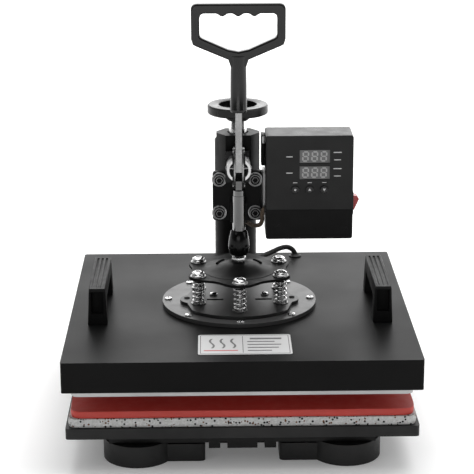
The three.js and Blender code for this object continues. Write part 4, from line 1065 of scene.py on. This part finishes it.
def add_displays():
    digits, bezels = Shape(), Shape()
    for node in ("upper_display", "lower_display"):
        low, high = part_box(node)
        width, tall = high.x - low.x, high.z - low.z
        y = low.y - 0.00002
        middle, _, cz = centre(low, high)
        for k in range(3):
            cx = low.x + width * (0.2 + 0.3 * k)
            w, h = width * 0.085, tall * 0.34
            for sx, sz, lying in SEGMENTS:
                long = w * 0.82 if lying else h * 0.42
                bar = [(-long, 0), (-long + 0.0007, 0.0009), (long - 0.0007, 0.0009), (long, 0)]
                bar += [(long - 0.0007, -0.0009), (-long + 0.0007, -0.0009)]
                if not lying:
                    bar = [(v, -u) for u, v in bar]
                lean = sz * h * 0.1
                part = flat(bar, PRINT)
                digits.add(part, 0, move(cx + sx * w + lean, y, cz + sz * h, FACING["front"]))
        x0, x1 = -width / 2 - 0.0006, width / 2 + 0.0006
        z0, z1 = -tall / 2 - 0.0006, tall / 2 + 0.0006
        rim = 0.0007
        opening = rounded(x0 + rim, x1 - rim, z0 + rim, z1 - rim, 0.0003)
        frame_loops = [rounded(x0, x1, z0, z1, 0.0004), opening]
        place = move(middle, PANEL_LOW.y - 0.0001, cz, FACING["front"])
        bezels.add(slab(frame_loops, 0.0004, 0.0001, 1), 0, place)
    make("display_digits", digits, ["segment"], "carriage")
    make("display_bezels", bezels, ["plastic"], "carriage")


def add_panel_print():
    """Plain dashes by the windows and buttons, arrows on two buttons and a round mark on the third."""
    marks = Shape()
    y = PANEL_LOW.y

    def dash(cx, cz, long, thick=0.0005):
        bar = rounded(-long / 2, long / 2, -thick, thick, thick * 0.6, 2)
        marks.add(flat(bar, PRINT), 0, move(cx, y, cz, FACING["front"]))

    for low, high in (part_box("upper_display"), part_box("lower_display")):
        middle = (low.z + high.z) / 2
        dash(low.x - 0.012, middle, 0.0075)
        dash(high.x + 0.009, middle + 0.005, 0.0095)
        dash(high.x + 0.009, middle - 0.004, 0.008)
    for node in ("set_button", "up_button", "down_button"):
        low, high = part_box(node)
        dash((low.x + high.x) / 2, high.z + 0.0028, 0.005, 0.00035)
    make("panel_print", marks, ["white"], "carriage")
    for node, tip in (("set_button", 0), ("up_button", 1), ("down_button", -1)):
        low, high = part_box(node)
        face, cx, cz = low.y, (low.x + high.x) / 2, (low.z + high.z) / 2
        glyph = Shape()
        if tip:
            points = [(-0.0017, -0.0012 * tip), (0.0017, -0.0012 * tip), (0, 0.0018 * tip)]
            points = points if tip > 0 else points[::-1]
        else:
            points = arc(0, 0, 0.0012, 0, 2 * math.pi * 11 / 12, 11)
        glyph.add(flat(points, PRINT), 0, move(cx, face, cz, FACING["front"]))
        ring = turned_ring([(0.0036, 0), (0.0044, 0), (0.0043, 0.0004), (0.0037, 0.0004)], 28)
        glyph.add(ring, 1, move(cx, face + 0.0001, cz, FACING["front"]))
        make(f"{node}_cap", glyph, ["white", "plastic"], node)


def add_rocker_bezel():
    """A frame round the rocker switch, open far enough for it to tilt."""
    low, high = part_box("rocker_switch")
    _, y, z = centre(low, high)
    side = BOX_HIGH.x
    tall = (high.z - low.z) / 2
    outside = rounded(-0.0085, 0.0085, -tall - 0.0046, tall + 0.0046, 0.0012)
    opening = rounded(-0.0064, 0.0064, -tall - 0.0028, tall + 0.0028, 0.0005)
    bezel = slab([outside, opening], 0.0016, 0.0004)
    bezel = Shape().add(bezel, 0, move(side + 0.0007, y, z, FACING["side"]))
    make("rocker_bezel", bezel, ["plastic"], "carriage")


def add_box_details():
    """The back cover's screws and vents, and the bush where the supply lead comes out."""
    screws = Shape()
    for u in (0.012, BOX_HIGH.x - BOX_LOW.x - 0.012):
        for v in (0.012, BOX_HIGH.z - BOX_LOW.z - 0.012):
            place = move(BOX_LOW.x + u, BOX_HIGH.y - 0.0001, BOX_LOW.z + v, FACING["back"])
            screws.gather(screw_head(0.0032, 0.0016), place)
    make("box_cover_screws", screws, ["chrome", "dark"], "carriage")

    # Painted shade: each vent is a thin dark bar on the back cover, not an opening.
    vents = Shape()
    for k in range(7):
        x = BOX_LOW.x + 0.026 + k * 0.0085
        y0, y1 = BOX_HIGH.y - 0.0002, BOX_HIGH.y + 0.00015
        z0, z1 = BOX_HIGH.z - 0.048, BOX_HIGH.z - 0.02
        vents.add(soft_box(x - 0.0013, x + 0.0013, y0, y1, z0, z1, 0.0001))
    make("box_vents", vents, ["dark"], "carriage")

    lead_x, lead_z = BOX_LOW.x - 0.0003, PIVOT_Z - LEVER_ABOVE_DATUM + 0.116
    bush = turned_ring([(0.0027, 0), (0.0044, 0), (0.0044, 0.0012), (0.0036, 0.002), (0.0027, 0.002)], 20)
    place = move(lead_x + 0.0004, MID_Y + 0.003, lead_z, FACING["left"])
    make("lead_bush", Shape().add(bush, 0, place), ["rubber"], "carriage")


def add_clamp_details():
    """Washers, rims and socket lips on the four clamp bolts, and a bracket tab beside the control box."""
    low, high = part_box("clamp_plate")
    x, _, z = centre(low, high)
    face, plate_face = low.y, low.y + 0.0055
    rings = Shape()
    for sx in (-0.0215, 0.0215):
        for sz in (-0.0205, 0.0205):
            section = [(0.0071, 0), (0.0088, 0), (0.009, 0.0004), (0.0086, 0.001), (0.0071, 0.001)]
            washer = turned_ring(section, 32)
            rings.add(washer, 0, move(x + sx, plate_face + 0.0001, z + sz, FACING["front"]))
            rim = turned_ring([(0.0056, 0), (0.0068, 0), (0.0065, 0.0004), (0.0058, 0.0004)], 32)
            rings.add(rim, 1, move(x + sx, face + 0.0001, z + sz, FACING["front"]))
            lip = turned_ring([(0.0033, 0), (0.0042, 0), (0.0041, 0.0003), (0.0034, 0.0003)], 6)
            rings.add(lip, 1, move(x + sx, face + 0.0001, z + sz, FACING["front"]))
    make("clamp_bolt_trim", rings, ["zinc", "bracket"], "carriage")
    tab_x, tab_y = BOX_LOW.x - 0.0003, MID_Y + 0.022
    low, high = PIVOT_Z - 0.003, PIVOT_Z + 0.034
    tab = Shape().add(soft_box(tab_x - 0.0044, tab_x, tab_y, tab_y + 0.02, low, high, 0.0008))
    low, high = PIVOT_Z + 0.0245, PIVOT_Z + 0.0335
    tab.add(soft_box(tab_x - 0.0036, tab_x, tab_y - 0.0014, tab_y - 0.0001, low, high, 0.0004), 1)
    make("bracket_upper_tab", tab, ["paint", "zinc"], "carriage")


def add_label():
    """A plain label: a border, a heat symbol over a red line, and grey bars where print would be."""
    x, y = 0.0035, MID_Y - 0.1465
    width, deep = 0.105, 0.063
    place = move(x, y, COVER_TOP + 0.0002)
    outline = rounded(-width / 2, width / 2, -deep / 2, deep / 2, 0.003)
    base = Shape().add(slab([outline], 0.0005, 0.0001, 1), 0, place)
    make("label_sheet", base, ["label"], "platen")
    top = move(x, y, COVER_TOP + 0.00045)
    ink = 0.0001
    art = Shape()
    w, d = width / 2 - 0.0022, deep / 2 - 0.0022
    loops = [rounded(-w, w, -d, d, 0.0018), rounded(-w + 0.0009, w - 0.0009, -d + 0.0009, d - 0.0009, 0.0012)]
    art.add(slab(loops, 0.0002, 0.00004, 1), 0, top)
    reach = d - 0.003
    art.add(flat([(-0.0026, -reach), (-0.0018, -reach), (-0.0018, reach), (-0.0026, reach)], ink), 0, top)
    bars = [(0.006, 0.042, 0.0024), (0.003, 0.034, 0.0013), (0.003, 0.041, 0.0013)]
    bars += [(0.003, 0.038, 0.0013), (0.003, 0.03, 0.0013)]
    for row, (start, end, thick) in enumerate(bars):
        y = 0.018 - row * 0.0095
        art.add(flat(rounded(start, end, y - thick, y + thick, 0.0006, 2), ink), 0, top)
    for k in range(3):
        left = []
        right = []
        for i in range(13):
            t = i / 12
            x = -0.037 + k * 0.012 + 0.0022 * math.sin(t * 2 * math.pi)
            y = -0.012 + 0.03 * t
            left.append((x - 0.0012, y))
            right.append((x + 0.0012, y))
        for i in range(12):
            art.add(flat([left[i], right[i], right[i + 1], left[i + 1]], ink), 0, top)
    red_bar = [(-0.046, -0.0205), (-0.008, -0.0205), (-0.008, -0.0182), (-0.046, -0.0182)]
    art.add(flat(red_bar, ink), 1, top)
    make("label_print", art, ["ink", "ink_red"], "platen")


def add_flange_bolts():
    """Four hexagon bolts with washers on the post's flange."""
    circle = 0.0355
    post_low, post_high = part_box("post")
    y = (post_low.y + post_high.y) / 2
    z = post_low.z + 0.012
    bolts = Shape()
    for k in range(4):
        a = math.pi / 4 + k * math.pi / 2
        cx, cy = circle * math.cos(a), y + circle * math.sin(a)
        bolts.add(slab([hexagon(0.0055)], 0.0042, 0.0005, 1), 0, move(cx, cy, z + 0.0035))
        ring = turned_ring([(0.003, 0), (0.0073, 0), (0.0073, 0.0012), (0.003, 0.0012)], 24)
        bolts.add(ring, 0, move(cx, cy, z + 0.0001))
    make("flange_bolts", bolts, ["zinc"], "base")


def add_wheel_ring():
    """A raised ring on the wheel's upper face."""
    low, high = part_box("pressure_wheel")
    x, y, _ = centre(low, high)
    ring = Shape()
    bead = [(0.0231, 0), (0.0243, 0.0006), (0.0352, 0.0006), (0.0352, 0), (0.0236, -0.0004)]
    ring.add(turned_ring(bead, 48), 0, move(x, y, high.z - 0.0002))
    make("wheel_face_ring", ring, ["wheel"], "pressure_wheel")


add_springs()
add_bolts()
add_disc_details()
add_dome()
add_dome_slots()
add_plunger_details()
add_pads()
add_heater_lead()
add_supply_lead()
add_grip()
add_side_handles()
add_displays()
add_panel_print()
add_rocker_bezel()
add_box_details()
add_clamp_details()
add_label()
add_flange_bolts()
add_wheel_ring()

# ---- studio


def add_stage():
    n = Nodes("floor_white")
    n.base(n.noise(0.4), 0.92, 0.95)
    n.rough(n.noise(3.0), 0.85, 0.95)
    n.set(specular=0.1)
    n.shader.inputs["Emission Color"].default_value = (1, 1, 1, 1)
    far = n.new("ShaderNodeVectorMath", operation="LENGTH")
    n.link(n.coords.outputs["Object"], far.inputs[0])
    n.link(n.span(far.outputs["Value"], 0.12, 0.85, 0.7, 3.5), n.shader.inputs["Emission Strength"])
    mesh = bpy.data.meshes.new("floor")
    mesh.from_pydata([(-9, -9, 0), (9, -9, 0), (9, 9, 0), (-9, 9, 0)], [], [[0, 1, 2, 3]])
    mesh.materials.append(n.material)
    obj = new_object("floor", mesh)
    obj.location.z = -0.0002


def area(name, location, target, size, power):
    light = bpy.data.lights.new(name, "AREA")
    light.shape = "RECTANGLE"
    light.size, light.size_y = size
    light.energy = power
    obj = new_object(name, light)
    obj.location = location
    obj.rotation_mode = "QUATERNION"
    obj.rotation_quaternion = (Vector(target) - Vector(location)).to_track_quat("-Z", "Y")


def add_world():
    world = bpy.data.worlds.new("studio")
    world.use_nodes = True
    tree = world.node_tree
    back = next(n for n in tree.nodes if n.type == "BACKGROUND")
    coords = tree.nodes.new("ShaderNodeTexCoord")
    split = tree.nodes.new("ShaderNodeSeparateXYZ")
    ramp = tree.nodes.new("ShaderNodeValToRGB")
    span = tree.nodes.new("ShaderNodeMapRange")
    span.inputs["From Min"].default_value = -1.0
    span.inputs["From Max"].default_value = 1.0
    tree.links.new(coords.outputs["Generated"], split.inputs["Vector"])
    tree.links.new(split.outputs["Y"], span.inputs["Value"])
    tree.links.new(span.outputs["Result"], ramp.inputs["Fac"])
    ramp.color_ramp.elements[0].position = 0.25
    ramp.color_ramp.elements[0].color = (0.04, 0.04, 0.04, 1)
    ramp.color_ramp.elements[1].position = 0.85
    ramp.color_ramp.elements[1].color = (1, 1, 1, 1)
    tree.links.new(ramp.outputs["Color"], back.inputs["Color"])
    back.inputs["Strength"].default_value = 1.0
    bpy.context.scene.world = world


CAMERA_PLACE = (-0.034, -1.9433, 0.7854)
CAMERA_TURN = (0.956, 16.785, -0.22)  # degrees of yaw, of pitch downwards and of roll
CAMERA_LENS = 126.0


def add_camera():
    yaw, pitch, roll = (math.radians(a) for a in CAMERA_TURN)
    ahead = Vector((math.sin(yaw) * math.cos(pitch), math.cos(yaw) * math.cos(pitch), -math.sin(pitch)))
    right = Vector((math.cos(yaw), -math.sin(yaw), 0))
    up = right.cross(ahead)
    turned_right = right * math.cos(roll) + up * math.sin(roll)
    turned_up = up * math.cos(roll) - right * math.sin(roll)
    data = bpy.data.cameras.new("camera")
    data.sensor_width = 36
    data.lens = CAMERA_LENS
    data.clip_start, data.clip_end = 0.05, 60
    camera = new_object("camera", data)
    rows = Matrix((turned_right, turned_up, -ahead)).transposed().to_4x4()
    camera.matrix_world = Matrix.Translation(CAMERA_PLACE) @ rows
    bpy.context.scene.camera = camera


add_stage()
add_world()
area("top_light", (0.2, 0.5, 2.4), (0, 0, 0.1), (2.4, 1.8), 44)
area("back_light", (0.5, 2.6, 1.5), (0, 0, 0.2), (3.2, 2.2), 40)
area("key_light", (-1.6, -1.6, 1.7), (0, 0, 0.25), (1.0, 1.4), 9)
area("side_light", (1.9, -0.5, 1.0), (0, 0, 0.25), (0.6, 1.4), 8)
area("low_fill", (-0.3, -2.4, 0.45), (0, 0, 0.07), (1.6, 0.3), 4.5)
add_camera()
bpy.context.scene.view_settings.view_transform = "Standard"
